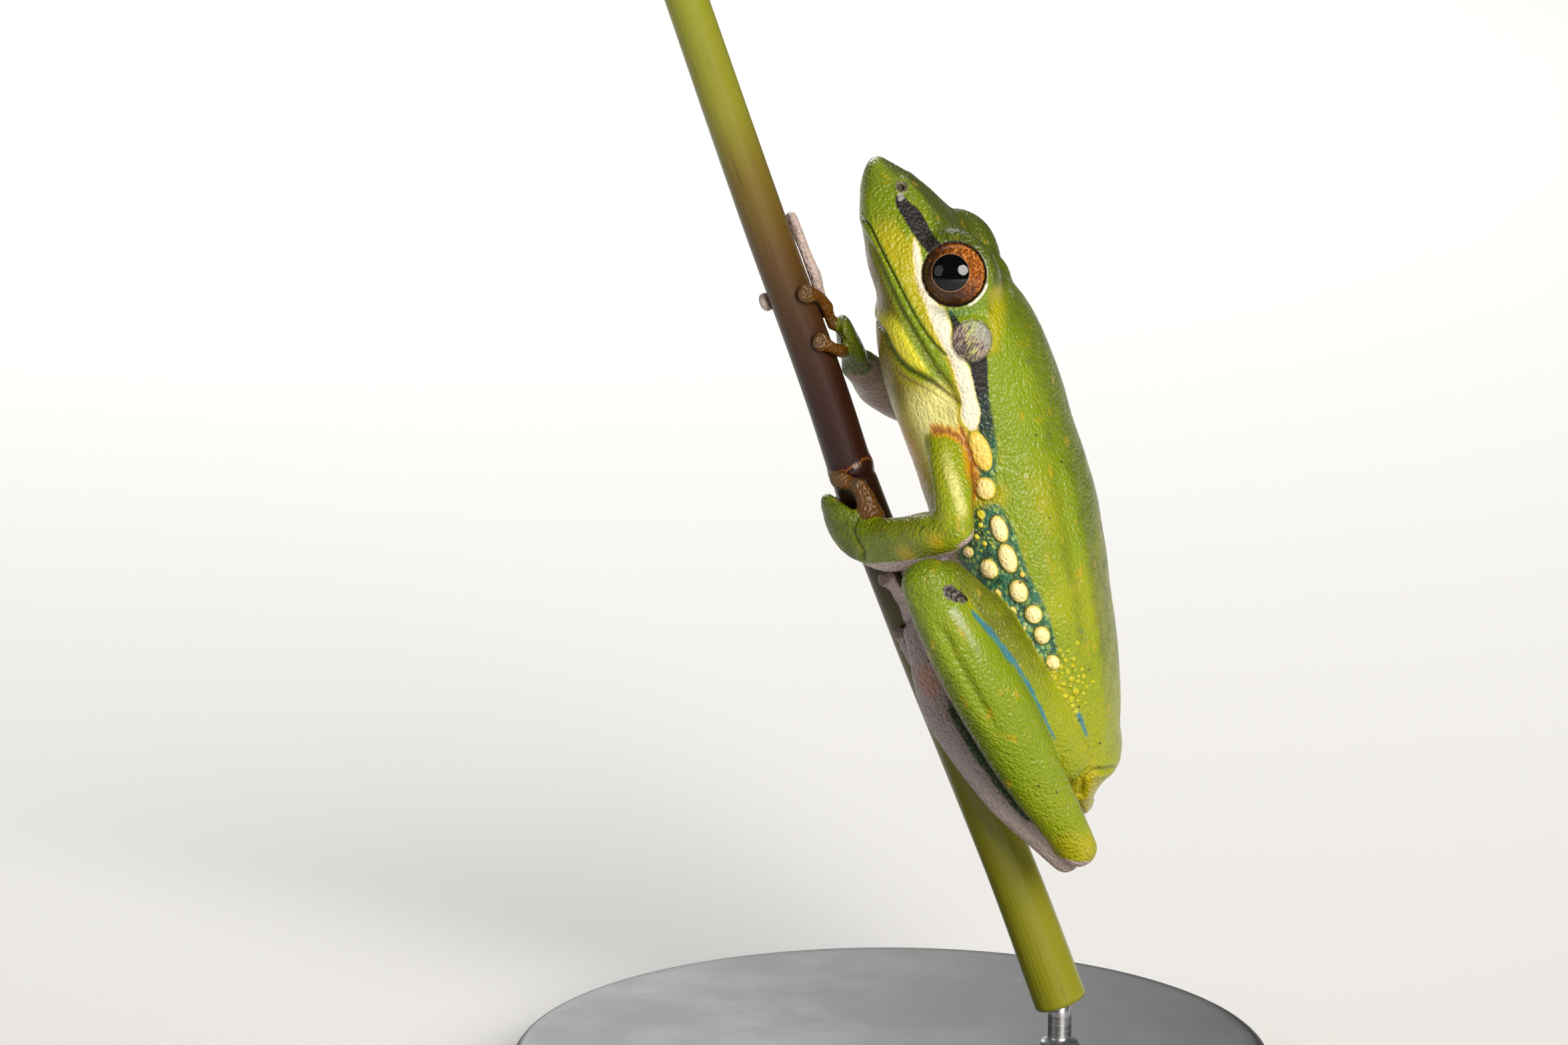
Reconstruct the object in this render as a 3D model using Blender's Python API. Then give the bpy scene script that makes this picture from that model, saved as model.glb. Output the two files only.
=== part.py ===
"""A wallum sedge frog, life size, as a still museum model. It clings to a short cut reed on a plain stand.

The frog is drawn in its own frame, in millimetres: x runs back from the tip of its snout along the reed,
y rises from the middle of the reed towards its back, and z goes out to its left. An empty then leans that
frame over as the reed leans and carries every piece of the animal and the reed, and the meshes themselves
are stored in metres.
"""

import math

import bmesh
import bpy
import numpy as np
from mathutils import Matrix, Vector

MM = 0.001
GAP = 0.3  # what neighbouring pieces keep between them, in millimetres, like every size below

# Driving sizes of the animal.
BODY_LENGTH = 29.3  # snout to vent
NECK = 9.6  # where the head ends, behind the snout
EYE_RADIUS = 1.45
EYE_SHOWS = 1.28  # radius of what the lids leave open
EYE_AT = (5.36, 6.51, 2.48)
EYE_AIM = (-0.25, 0.04, 1.0)  # the pupil looks out and a little forward
EYE_GAP = 0.15
LID_RADIUS = 0.16
BROW_FROM_EYE = (0.2, 0.04, -0.18)  # the middle of the swelling round the eye, from the eye's own
BROW_RADII = (2.05, 1.66, 1.28)
EAR_RADIUS = 0.78
EAR_AT = (7.9, 6.33, 3.95)
NOSTRIL_AT = (1.38, 5.6, 1.15)
NOSTRIL_RADIUS = 0.17
LIP_RADIUS = 0.2

# The reed and the stand.
REED_LEAN = math.radians(20.0)
BACK_TURN = math.radians(1.5)  # the frog sits this far round the reed, its back a little to the front
# the reed's middle: it bends a little at its joint
REED_PATH = ((-9.8, -0.06), (0.7, -0.26), (9.0, -0.33), (12.6, -0.46), (17.0, -0.38), (21.4, -0.28),
             (26.0, -0.11), (31.0, 0.05), (36.6, 0.06))
REED_THICKNESS = ((-9.8, 0.87), (0.6, 0.91), (9.0, 0.92), (22.0, 0.98), (30.0, 1.05), (36.6, 1.12))
REED_ENDS = (-9.8, 36.6)
REED_SIDES = 20
REED_JOINT_AT = 12.0
REED_JOINT_RISE = 0.05
GRIP = 0.12  # between the reed and the fingers and toes that hold it
SNOUT_LEVEL_AT = (-5.44, 38.93)  # world x and z of the reed's middle beside the snout
BASE_RADIUS = 16.0
BASE_THICKNESS = 2.5
ROD_RADIUS = 0.5

# Side view of the trunk: the back's height, the belly's height and the level of its widest line, each
# against the distance behind the snout.
BACK = ((0.0, 4.9), (0.12, 5.12), (0.4, 5.38), (0.8, 5.74), (1.7, 6.36), (2.7, 6.85), (4.2, 7.35),
        (5.8, 7.9), (7.2, 8.55), (8.7, 8.93), (10.1, 9.02), (13.2, 8.91), (16.5, 8.75), (18.3, 8.45),
        (20.0, 8.08), (23.4, 7.3), (25.9, 6.47), (27.6, 5.68), (28.2, 4.9), (28.9, 4.25), (29.3, 3.8))
BELLY = ((0.0, 4.9), (0.12, 4.66), (0.44, 4.32), (0.82, 4.05), (1.5, 3.75), (2.1, 3.53), (3.0, 3.37),
         (4.3, 3.15), (5.4, 3.06), (6.4, 2.69), (7.6, 2.32), (8.9, 2.12), (11.8, 2.1), (14.0, 2.05),
         (18.0, 1.75), (22.0, 1.75), (25.5, 2.3), (28.0, 3.1), (29.3, 3.8))
WIDEST = ((0.0, 4.9), (0.5, 4.7), (1.4, 4.4), (4.0, 4.6), (8.0, 5.1), (12.0, 5.2), (20.0, 4.8),
          (26.0, 4.3), (29.3, 3.8))
HALF_WIDTH = ((0.0, 0.0), (0.12, 0.42), (0.5, 0.92), (1.4, 1.6), (2.6, 2.3), (4.2, 3.1), (5.8, 3.7),
              (8.0, 4.15), (10.0, 4.1), (12.5, 4.25), (17.5, 4.75), (21.5, 4.4), (25.0, 3.4),
              (27.4, 2.2), (28.6, 1.1), (29.3, 0.0))
# How square the section is above and below its widest line, where 2 is an ellipse.
SQUARE_ABOVE = ((0.0, 2.0), (2.0, 2.5), (5.0, 2.5), (9.0, 2.2), (28.6, 2.1))
SQUARE_BELOW = ((0.0, 2.0), (4.0, 2.4), (8.0, 2.3), (28.6, 2.0))

MOUTH_LINE = ((1.85, 3.2), (2.1, 3.55), (2.35, 3.8), (2.71, 4.06), (3.9, 4.28), (5.2, 4.47),
              (6.39, 4.68), (7.1, 4.88), (7.65, 5.1))
# from the mouth's corner down to the throat
JAW_ANGLE = ((8.1, 4.6), (8.45, 3.4), (8.2, 1.0))


# Small tools.
def clear_scene():
    for obj in list(bpy.data.objects):
        bpy.data.objects.remove(obj)


def new_collection(name):
    made = bpy.data.collections.new(name)
    bpy.context.scene.collection.children.link(made)
    return made


def smooth_through(points, at):
    """A curve through points whose first column rises, read at the places in at."""
    table = np.asarray(points, float)
    x, y = table[:, 0], table[:, 1:]
    step = np.diff(x)[:, None]
    rise = np.diff(y, axis=0) / step
    slope = np.empty_like(y)
    slope[0], slope[-1] = rise[0], rise[-1]
    weight_before = 1 / step[:-1]
    weight_after = 1 / step[1:]
    slope[1:-1] = (rise[:-1] * weight_before + rise[1:] * weight_after) / (weight_before + weight_after)
    at = np.clip(np.atleast_1d(np.asarray(at, float)), x[0], x[-1])
    i = np.clip(np.searchsorted(x, at, side="right") - 1, 0, len(x) - 2)
    h = step[i]
    t = ((at - x[i])[:, None]) / h
    value = (
        y[i] * (2 * t**3 - 3 * t**2 + 1)
        + slope[i] * h * (t**3 - 2 * t**2 + t)
        + y[i + 1] * (3 * t**2 - 2 * t**3)
        + slope[i + 1] * h * (t**3 - t**2)
    )
    return value[:, 0] if value.shape[1] == 1 else value


def mesh_object(name, verts, faces, collection):
    mesh = bpy.data.meshes.new(name)
    mesh.from_pydata([tuple(map(float, v)) for v in verts], [], faces)
    made = bmesh.new()
    made.from_mesh(mesh)
    bmesh.ops.recalc_face_normals(made, faces=made.faces)
    made.to_mesh(mesh)
    made.free()
    obj = bpy.data.objects.new(name, mesh)
    collection.objects.link(obj)
    return obj


def loft(name, rings, collection):
    """A closed body through rings of points. An end ring of one point is a tip, any other is closed flat."""
    verts = []
    starts = []
    for ring in rings:
        starts.append(len(verts))
        verts.extend(ring)
    faces = []
    for k in range(len(rings) - 1):
        a, b = starts[k], starts[k + 1]
        na, nb = len(rings[k]), len(rings[k + 1])
        for i in range(max(na, nb)):
            j = (i + 1) % max(na, nb)
            if na == 1:
                faces.append((a, b + i, b + j))
            elif nb == 1:
                faces.append((a + i, b, a + j))
            else:
                faces.append((a + i, b + i, b + j, a + j))
    for start, ring in ((starts[0], rings[0]), (starts[-1], rings[-1])):
        if len(ring) > 1:
            middle = len(verts)
            verts.append(np.mean(ring, axis=0))
            for i in range(len(ring)):
                faces.append((start + i, start + (i + 1) % len(ring), middle))
    return mesh_object(name, verts, faces, collection)


def round_reed(behind, angle_deg, out):
    """A point beside the reed: angle 0 is the side at the frog, 90 its left; out is from the middle."""
    angle = math.radians(angle_deg)
    return np.array((behind, reed_bow(behind) + out * math.cos(angle), out * math.sin(angle)))


def reed_bow(behind):
    return float(smooth_through(REED_PATH, behind)[0])


def reed_radius(behind):
    return float(smooth_through(REED_THICKNESS, behind)[0])


def limb_rings(path, sides, sections, grow=0.0, out_hint=(0, 0, 1), cap=(75, 50, 25)):
    """Rings of a rounded limb. Each row of path is x, y, z, half-width and half-thickness, the last one
    measured along out_hint as far as the limb's direction allows, or away from the reed without a hint."""
    table = np.asarray(path, float)
    run = np.concatenate(([0.0], np.cumsum(np.linalg.norm(np.diff(table[:, :3], axis=0), axis=1))))
    rows = np.column_stack((run, table))
    at = np.linspace(0, run[-1], sections)
    values = smooth_through(rows, at)
    centres, half = values[:, :3], np.maximum(values[:, 3:], 0.05) + grow
    along = np.gradient(centres, axis=0)
    along /= np.linalg.norm(along, axis=1)[:, None]
    rings = []

    def ring(centre, direction, wide, thick):
        away = (0, centre[1] - reed_bow(centre[0]), centre[2])
        hint = np.array(away if out_hint is None else out_hint, float)
        out = hint - direction * hint.dot(direction)
        out /= np.linalg.norm(out)
        side = np.cross(direction, out)
        turn = np.arange(sides) * 2 * math.pi / sides
        return centre + np.outer(np.cos(turn) * wide, side) + np.outer(np.sin(turn) * thick, out)

    def end(k, sign, degrees):
        """The rounded end: each ring leans out past the last section by its share of the limb's radius."""
        reach = half[k].mean()
        for angle in degrees:
            a = math.radians(angle)
            yield ring(centres[k] + sign * along[k] * reach * math.sin(a), along[k],
                       half[k, 0] * math.cos(a), half[k, 1] * math.cos(a))

    rings.append([centres[0] - along[0] * half[0].mean()])
    rings.extend(end(0, -1, cap))
    for k in range(sections):
        rings.append(ring(centres[k], along[k], half[k, 0], half[k, 1]))
    rings.extend(end(-1, 1, reversed(cap)))
    rings.append([centres[-1] + along[-1] * half[-1].mean()])
    return rings


def limb(name, path, collection, sides=12, sections=9, grow=0.0, out_hint=(0, 0, 1)):
    return loft(name, limb_rings(path, sides, sections, grow, out_hint), collection)


def egg(name, centre, radii, collection, segments=16, rows=10):
    """An ellipsoid, made from Blender's sphere."""
    made = bmesh.new()
    bmesh.ops.create_uvsphere(made, u_segments=segments, v_segments=rows, radius=1.0)
    bmesh.ops.scale(made, vec=radii, verts=made.verts)
    bmesh.ops.translate(made, vec=centre, verts=made.verts)
    mesh = bpy.data.meshes.new(name)
    made.to_mesh(mesh)
    made.free()
    obj = bpy.data.objects.new(name, mesh)
    collection.objects.link(obj)
    return obj


def disc(name, centre, axis, radius, length, collection, segments=20, top_radius=None):
    """A round plug whose middle is at centre and whose axis points along axis."""
    made = bmesh.new()
    bmesh.ops.create_cone(made, cap_ends=True, segments=segments, radius1=radius,
                          radius2=radius if top_radius is None else top_radius, depth=length)
    turn = Vector(axis).to_track_quat("Z", "Y").to_matrix().to_4x4()
    bmesh.ops.transform(made, matrix=Matrix.Translation(centre) @ turn, verts=made.verts)
    mesh = bpy.data.meshes.new(name)
    made.to_mesh(mesh)
    made.free()
    obj = bpy.data.objects.new(name, mesh)
    collection.objects.link(obj)
    return obj


def slab(name, outline, half_width, collection):
    """A flat outline in the side view, as thick as the animal and more."""
    n = len(outline)
    verts = [(x, y, -half_width) for x, y in outline] + [(x, y, half_width) for x, y in outline]
    faces = [tuple(range(n)), tuple(range(2 * n - 1, n - 1, -1))]
    faces += [(i, (i + 1) % n, n + (i + 1) % n, n + i) for i in range(n)]
    return mesh_object(name, verts, faces, collection)


def bake(obj):
    """Replaces an object's mesh by the one its modifiers make."""
    graph = bpy.context.evaluated_depsgraph_get()
    made = bpy.data.meshes.new_from_object(obj.evaluated_get(graph), depsgraph=graph)
    obj.modifiers.clear()
    obj.data = made


def combine(obj, others, operation):
    """Joins or cuts obj by a list of closed objects, which are then removed."""
    group = bpy.data.collections.new("tools_of_" + obj.name)
    for other in others:
        group.objects.link(other)
    modifier = obj.modifiers.new("combine", "BOOLEAN")
    modifier.operation = operation
    modifier.operand_type = "COLLECTION"
    modifier.collection = group
    modifier.solver = "EXACT"
    bpy.context.view_layer.update()
    bake(obj)
    for other in others:
        bpy.data.objects.remove(other)
    bpy.data.collections.remove(group)
    keep_largest(obj)


def keep_largest(obj):
    """Keeps the largest closed surface, so that no loose scrap of a cut stays."""
    made = bmesh.new()
    made.from_mesh(obj.data)
    bmesh.ops.remove_doubles(made, verts=made.verts, dist=1e-4)
    bmesh.ops.triangulate(made, faces=made.faces)
    left = set(made.verts)
    groups = []
    while left:
        todo = [left.pop()]
        group = set(todo)
        while todo:
            for edge in todo.pop().link_edges:
                for vert in edge.verts:
                    if vert in left:
                        left.discard(vert)
                        group.add(vert)
                        todo.append(vert)
        groups.append(group)

    def size(group):
        low = [min(v.co[k] for v in group) for k in range(3)]
        high = [max(v.co[k] for v in group) for k in range(3)]
        return math.prod(b - a for a, b in zip(low, high))

    groups.sort(key=size)
    for group in groups[:-1]:
        bmesh.ops.delete(made, geom=list(group), context="VERTS")
    made.to_mesh(obj.data)
    made.free()


# The trunk: one smooth form from snout to vent, from which the head, the jaw and the torso are taken.
def trunk_ring(behind, sides, grow=0.0):
    back = smooth_through(BACK, behind)[0] + grow
    belly = smooth_through(BELLY, behind)[0] - grow
    level = smooth_through(WIDEST, behind)[0]
    half_width = smooth_through(HALF_WIDTH, behind)[0] + grow
    above = smooth_through(SQUARE_ABOVE, behind)[0]
    below = smooth_through(SQUARE_BELOW, behind)[0]
    points = []
    for k in range(sides):
        turn = 2 * math.pi * (k + 0.5) / sides
        c, s = math.cos(turn), math.sin(turn)
        power = 2 / (above if s > 0 else below)
        y = level + (back - level if s > 0 else level - belly) * math.copysign(abs(s) ** power, s)
        z = half_width * math.copysign(abs(c) ** power, c)
        points.append(np.array((behind, y, z)))
    return points


def trunk(name, places, collection, sides=28, grow=0.0):
    """The trunk between the first and last place. A place at the snout or the vent closes to a tip."""
    rings = []
    for place in places:
        if place <= 0 or place >= BODY_LENGTH:
            shift = grow if place > 0 else -grow
            end = (place + shift, smooth_through(BACK, place)[0], 0.0)
            rings.append([np.array(end)])
        else:
            rings.append(trunk_ring(place, sides, grow))
    return loft(name, rings, collection)


# The large glands of the flank: place behind the snout, height, half-length and half-width.
GLANDS = ((12.25, 5.32, 0.72, 0.36), (13.75, 4.98, 0.42, 0.36), (15.48, 4.86, 0.56, 0.36),
          (16.72, 4.76, 0.60, 0.38), (16.95, 3.95, 0.42, 0.36), (18.15, 4.72, 0.50, 0.39),
          (19.29, 4.93, 0.40, 0.37), (20.27, 4.93, 0.40, 0.35), (21.55, 4.98, 0.34, 0.31))
GLAND_RISE = 0.22
GLAND_ROOT = 0.08  # how far under the skin a gland's middle lies

HEAD_PLACES = (0.0, 0.12, 0.4, 0.9, 1.6, 2.4, 3.2, 4.1, 5.0, 5.9, 6.8, 7.7, 8.6, NECK - GAP / 2)
TORSO_PLACES = (NECK + GAP / 2, 11.0, 12.6, 14.2, 16.0, 17.8, 19.6, 21.4, 23.0, 24.5, 25.8, 27.0, 27.7,
                28.2, 28.8, BODY_LENGTH)


def trunk_side(behind, height):
    """How far out the trunk's side is at a place in the side view."""
    level = smooth_through(WIDEST, behind)[0]
    above = height > level
    reach = smooth_through(BACK if above else BELLY, behind)[0] - level
    power = smooth_through(SQUARE_ABOVE if above else SQUARE_BELOW, behind)[0]
    share = min(abs((height - level) / reach), 0.999)
    return smooth_through(HALF_WIDTH, behind)[0] * (1 - share**power) ** (1 / power)


def lower_jaw_outline(inset):
    """The part of the side view under the mouth line, drawn in by inset on the side that meets the head."""
    line = np.array(MOUTH_LINE + JAW_ANGLE, float)
    step = np.gradient(line, axis=0)
    step /= np.linalg.norm(step, axis=1)[:, None]
    inward = np.column_stack((-step[:, 1], step[:, 0])) * -1
    line = line + inward * inset
    return [tuple(p) for p in line] + [(-2.0, 1.0), (-2.0, line[0, 1] - 1.2)]


def ring_about(name, centre, axis, radius, half, collection, steps=22, around=8):
    """A ring of round section that lies across axis."""
    turn = Vector(axis).to_track_quat("Z", "Y").to_matrix()
    verts, faces = [], []
    for i in range(steps):
        a = 2 * math.pi * i / steps
        spoke = turn @ Vector((math.cos(a), math.sin(a), 0))
        for j in range(around):
            b = 2 * math.pi * j / around
            out, along = half * math.cos(b), half * math.sin(b)
            verts.append(Vector(centre) + spoke * (radius + out) + axis * along)
            i2, j2 = (i + 1) % steps, (j + 1) % around
            faces.append((i * around + j, i2 * around + j, i2 * around + j2, i * around + j2))
    return mesh_object(name, verts, faces, collection)


def lip(side, collection):
    """The upper lip: a low roll just above the mouth line, from under the snout to the mouth's corner."""
    rows = []
    for x, y in MOUTH_LINE[1:]:
        height = y + GAP / 2 + LIP_RADIUS * 0.8
        rows.append((x, height, side * (trunk_side(x, height) - LIP_RADIUS * 0.35), LIP_RADIUS, LIP_RADIUS))
    rows.insert(0, (1.9, 3.98, side * 0.3, LIP_RADIUS, LIP_RADIUS))
    return limb("lip", rows, collection, sides=6, sections=12)


def make_head(parts):
    head = trunk("head", HEAD_PLACES, parts)
    jaw = trunk("lower_jaw", HEAD_PLACES, parts)
    additions = []
    cuts = [slab("mouth_cut", lower_jaw_outline(-GAP / 2), 9.0, parts)]
    lid_rise = math.sqrt(EYE_RADIUS**2 - EYE_SHOWS**2)
    for side, word in SIDES:
        x, y, z = EYE_AT
        centre = Vector((x, y, side * z))
        axis = Vector((EYE_AIM[0], EYE_AIM[1], side * EYE_AIM[2])).normalized()
        brow_at = (x + BROW_FROM_EYE[0], y + BROW_FROM_EYE[1], side * (z + BROW_FROM_EYE[2]))
        additions.append(egg("brow", brow_at, BROW_RADII, parts, 18, 12))
        lid_middle = centre + axis * lid_rise
        additions.append(ring_about("lid", lid_middle, axis, EYE_SHOWS + LID_RADIUS, LID_RADIUS, parts))
        additions.append(lip(side, parts))
        socket = egg("socket", centre, (EYE_RADIUS + EYE_GAP,) * 3, parts, 20, 14)
        combine(socket, [disc("socket_front", centre + axis * 1.3, axis, 2.5, 3.2, parts, 12)], "INTERSECT")
        cuts.append(socket)
        eye = egg("eye_" + word, centre, (EYE_RADIUS,) * 3, parts, 20, 14)
        combine(eye, [disc("eye_front", centre + axis * 1.5, axis, 2.5, 3.0, parts, 12)], "INTERSECT")
        ear_axis = Vector((0.02, 0.2, side)).normalized()
        ear_at = Vector((EAR_AT[0], EAR_AT[1], side * EAR_AT[2]))
        cuts.append(disc("ear_cut", ear_at + ear_axis * 1.0, ear_axis, EAR_RADIUS + 0.19, 2.6, parts, 20))
        ear = disc("tympanum_" + word, ear_at + ear_axis * 0.14, ear_axis, EAR_RADIUS, 0.28, parts, 20,
                   top_radius=EAR_RADIUS - 0.08)
        nx, ny, nz = NOSTRIL_AT
        nostril_at = (nx, ny, side * (nz + 0.1))
        cuts.append(disc("nostril", nostril_at, (-0.3, 0.5, side), NOSTRIL_RADIUS, 0.7, parts, 8))
    combine(head, additions, "UNION")
    combine(head, cuts, "DIFFERENCE")
    combine(jaw, [slab("jaw_keep", lower_jaw_outline(GAP / 2), 9.0, parts)], "INTERSECT")
    return head, jaw


def make_torso(parts):
    """The torso, with the chain of glands along each flank."""
    torso = trunk("torso", TORSO_PLACES, parts)
    glands = []
    for side, _ in SIDES:
        for x, y, half_length, half_width in GLANDS:
            middle = (x, y, side * (trunk_side(x, y) - GLAND_ROOT))
            radii = (half_length, half_width, GLAND_RISE + GLAND_ROOT)
            glands.append(egg("gland", middle, radii, parts, 12, 6))
    combine(torso, glands, "UNION")


# The limbs. Each row is x, y, z, half-width and half-thickness, for the left side; the right side's z is
# turned round.
UPPER_ARM_LEFT = ((11.2, 4.2, 2.7, 1.0, 0.9), (12.2, 3.9, 3.9, 0.92, 0.86),
                  (13.4, 3.65, 4.75, 0.86, 0.82), (14.75, 3.25, 5.15, 0.8, 0.78))
FOREARM_LEFT = ((14.8, 3.2, 5.15, 0.8, 0.78), (14.85, 2.3, 4.5, 1.0, 0.9),
                (14.9, 1.2, 3.55, 0.97, 0.88), (14.85, 0.2, 2.6, 0.85, 0.72),
                (14.8, -0.6, 1.9, 0.76, 0.58))
HAND_LEFT = ((14.75, -0.9, 1.62, 0.76, 0.5), (14.4, -1.4, 1.15, 0.9, 0.44),
             (14.0, -1.68, 0.62, 0.92, 0.36))
UPPER_ARM_RIGHT = ((11.9, 4.5, 2.8, 0.95, 0.9), (12.1, 4.0, 4.0, 0.86, 0.84),
                   (12.2, 3.5, 5.0, 0.82, 0.8), (12.1, 3.2, 5.5, 0.78, 0.78))
FOREARM_RIGHT = ((12.05, 3.1, 5.5, 0.8, 0.78), (11.2, 2.5, 4.7, 0.96, 0.88),
                 (9.8, 1.6, 3.35, 0.94, 0.84), (8.7, 1.35, 2.05, 0.8, 0.7),
                 (8.2, 1.2, 1.45, 0.74, 0.56))
HAND_RIGHT = ((7.9, 1.22, 1.15, 0.76, 0.48), (7.2, 1.27, 0.65, 0.9, 0.44),
              (6.5, 1.32, 0.25, 0.84, 0.38))
THIGH = ((25.6, 3.85, 2.2, 1.45, 1.5), (23.4, 3.55, 3.3, 1.45, 1.45), (20.8, 3.1, 4.3, 1.38, 1.3),
         (18.4, 2.6, 5.1, 1.25, 1.1), (16.7, 2.0, 5.75, 1.1, 0.95))
SHANK = ((16.3, 1.45, 6.25, 1.12, 0.95), (18.0, 1.6, 6.1, 1.27, 1.08), (20.0, 1.85, 5.85, 1.42, 1.18),
         (22.0, 2.18, 5.5, 1.48, 1.2), (24.0, 2.42, 5.1, 1.4, 1.1), (26.0, 2.7, 4.65, 1.24, 0.98),
         (28.0, 3.03, 4.2, 1.0, 0.84), (29.5, 3.28, 3.85, 0.82, 0.74))
TARSUS = ((29.85, 2.62, 3.3, 0.66, 0.6), (28.6, 1.9, 3.05, 0.66, 0.58), (27.0, 1.0, 2.75, 0.66, 0.55),
          (25.1, 0.32, 2.4, 0.68, 0.52), (23.6, -0.15, 2.05, 0.68, 0.5),
          (22.6, -0.38, 1.82, 0.68, 0.48))
FOOT = ((22.2, -0.42, 1.72, 0.66, 0.46), (21.0, -0.2, 1.68, 0.75, 0.42), (19.9, 0.1, 1.64, 0.86, 0.38),
        (19.1, 0.2, 1.6, 0.92, 0.34))

# The fingers and toes. Each row is the place along the reed and the angle round it, from 0 at the frog's
# side of the reed through 90 at its left. A tip holds the reed, so its place gives all the rest.
FINGERS_LEFT = (
    ((14.1, 96), (13.4, 74), (12.8, 72), (12.35, 83), (12.14, 114)),
    ((13.4, 146), (13.0, 166), (12.9, 194), (13.0, 224)),
    ((14.1, 166), (14.05, 198), (14.15, 230), (14.3, 262)),
    ((14.9, 156), (15.2, 182), (15.35, 212), (15.4, 240)),
)
FINGERS_RIGHT = (
    ((7.3, 2), (7.2, -14), (6.85, -38), (6.33, -63)),
    ((6.1, 4), (5.5, -2), (4.75, -20), (4.25, -58)),
    ((5.6, 34), (4.4, 20), (3.0, 17), (1.4, 26)),
    ((6.4, 64), (5.5, 92), (4.7, 130), (4.25, 165)),
)
TOES_LEFT = (
    ((20.6, 28), (20.2, 18), (19.9, 8), (19.7, -2)),
    ((18.9, 34), (18.1, 26), (17.5, 18), (17.1, 8)),
    ((18.7, 60), (17.9, 55), (17.2, 52), (16.7, 50)),
    ((18.6, 86), (17.8, 83), (17.1, 89), (16.6, 98)),
    ((20.3, 108), (19.8, 108), (19.4, 109), (19.1, 111)),
)
TOES_RIGHT = (
    ((21.2, 28), (21.2, 16), (21.3, 4), (21.4, -8)),
    ((19.4, 36), (18.9, 33), (18.5, 30), (18.2, 27)),
    ((19.3, 60), (18.5, 63), (17.8, 66), (17.1, 68)),
    ((19.2, 86), (18.5, 91), (18.0, 99), (17.7, 108)),
    ((20.7, 110), (20.2, 114), (19.8, 117), (19.4, 120)),
)
RIGHT_LEG_BACK = (0.55, 1.1, 0.0)  # how much further back the right leg is at its hip and foot, knee and heel

DIGIT_RADIUS = 0.27
TOE_RADIUS = 0.26
PAD_RADIUS = 0.43
PAD_HALF = 0.26
SIDES = ((1, "left"), (-1, "right"))


def digit(name, places, side, radius, collection, root=None):
    """A finger or toe that lies along the reed, with the round flat pad of a tree frog at its end."""
    places = np.asarray(places, float)
    at = np.linspace(0, 1, len(places))
    dense = np.linspace(0, 1, 9)
    track = smooth_through(np.column_stack((at, places)), dense)
    rows = []
    for share, (behind, angle) in zip(dense, track):
        thick = radius if share < 0.8 else PAD_HALF
        wide = radius if share < 0.8 else PAD_RADIUS
        out = reed_radius(behind) + GRIP + thick
        rows.append((*round_reed(behind, side * angle, out), wide, thick))
    return loft(name, limb_rings(rows, 8, 9, 0.0, None, (60, 30)), collection)


def mirrored(rows, side):
    return [(x, y, side * z, wide, thick) for x, y, z, wide, thick in rows]


def make_reed(parts):
    start, end = REED_ENDS
    joint = (REED_JOINT_AT - 0.5, REED_JOINT_AT, REED_JOINT_AT + 0.5)
    above, below = np.linspace(start, joint[0], 8), np.linspace(REED_JOINT_AT + 1.5, end, 7)
    places = np.concatenate((above, joint[1:], below))
    rings = []
    turn = np.arange(REED_SIDES) * 2 * math.pi / REED_SIDES
    for behind in places:
        radius = reed_radius(behind) + (REED_JOINT_RISE if behind == REED_JOINT_AT else 0.0)
        rings.append(np.column_stack((np.full(REED_SIDES, behind), reed_bow(behind) + radius * np.cos(turn),
                                      radius * np.sin(turn))))
    return loft("reed", rings, parts)


def grown_reed(parts, grow):
    rings = []
    turn = np.arange(REED_SIDES) * 2 * math.pi / REED_SIDES
    for behind in np.linspace(*REED_ENDS, 12):
        radius = reed_radius(behind) + grow
        rings.append(np.column_stack((np.full(REED_SIDES, behind), reed_bow(behind) + radius * np.cos(turn),
                                      radius * np.sin(turn))))
    return loft("reed_grown", rings, parts)


def make_arm(side, word, upper, fore, hand_rows, fingers, parts):
    upper, fore, hand_rows = (mirrored(rows, side) for rows in (upper, fore, hand_rows))
    arm = limb("upper_arm_" + word, upper, parts, 12, 7)
    combine(arm, [trunk("torso_grown", TORSO_PLACES, parts, 28, GAP)], "DIFFERENCE")
    forearm = limb("forearm_" + word, fore, parts, 12, 9)
    combine(forearm, [limb("arm_grown", upper, parts, 12, 7, GAP)], "DIFFERENCE")
    hand = loft("hand_" + word, limb_rings(hand_rows, 12, 7, 0.0, None), parts)
    combine(hand, [limb("forearm_grown", fore, parts, 12, 9, GAP), grown_reed(parts, GRIP)], "DIFFERENCE")
    for k, places in enumerate(fingers):
        made = digit(f"finger_{word}_{k + 1}", places, side, DIGIT_RADIUS, parts)
        combine(made, [loft("hand_grown", limb_rings(hand_rows, 12, 7, GAP, None), parts)], "DIFFERENCE")


def set_back(rows, amounts):
    """Moves a limb's rows back along the reed by amounts that change evenly from first row to last."""
    first, last = amounts
    steps = len(rows) - 1
    return [(x + first + (last - first) * k / steps, *rest) for k, (x, *rest) in enumerate(rows)]


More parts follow.
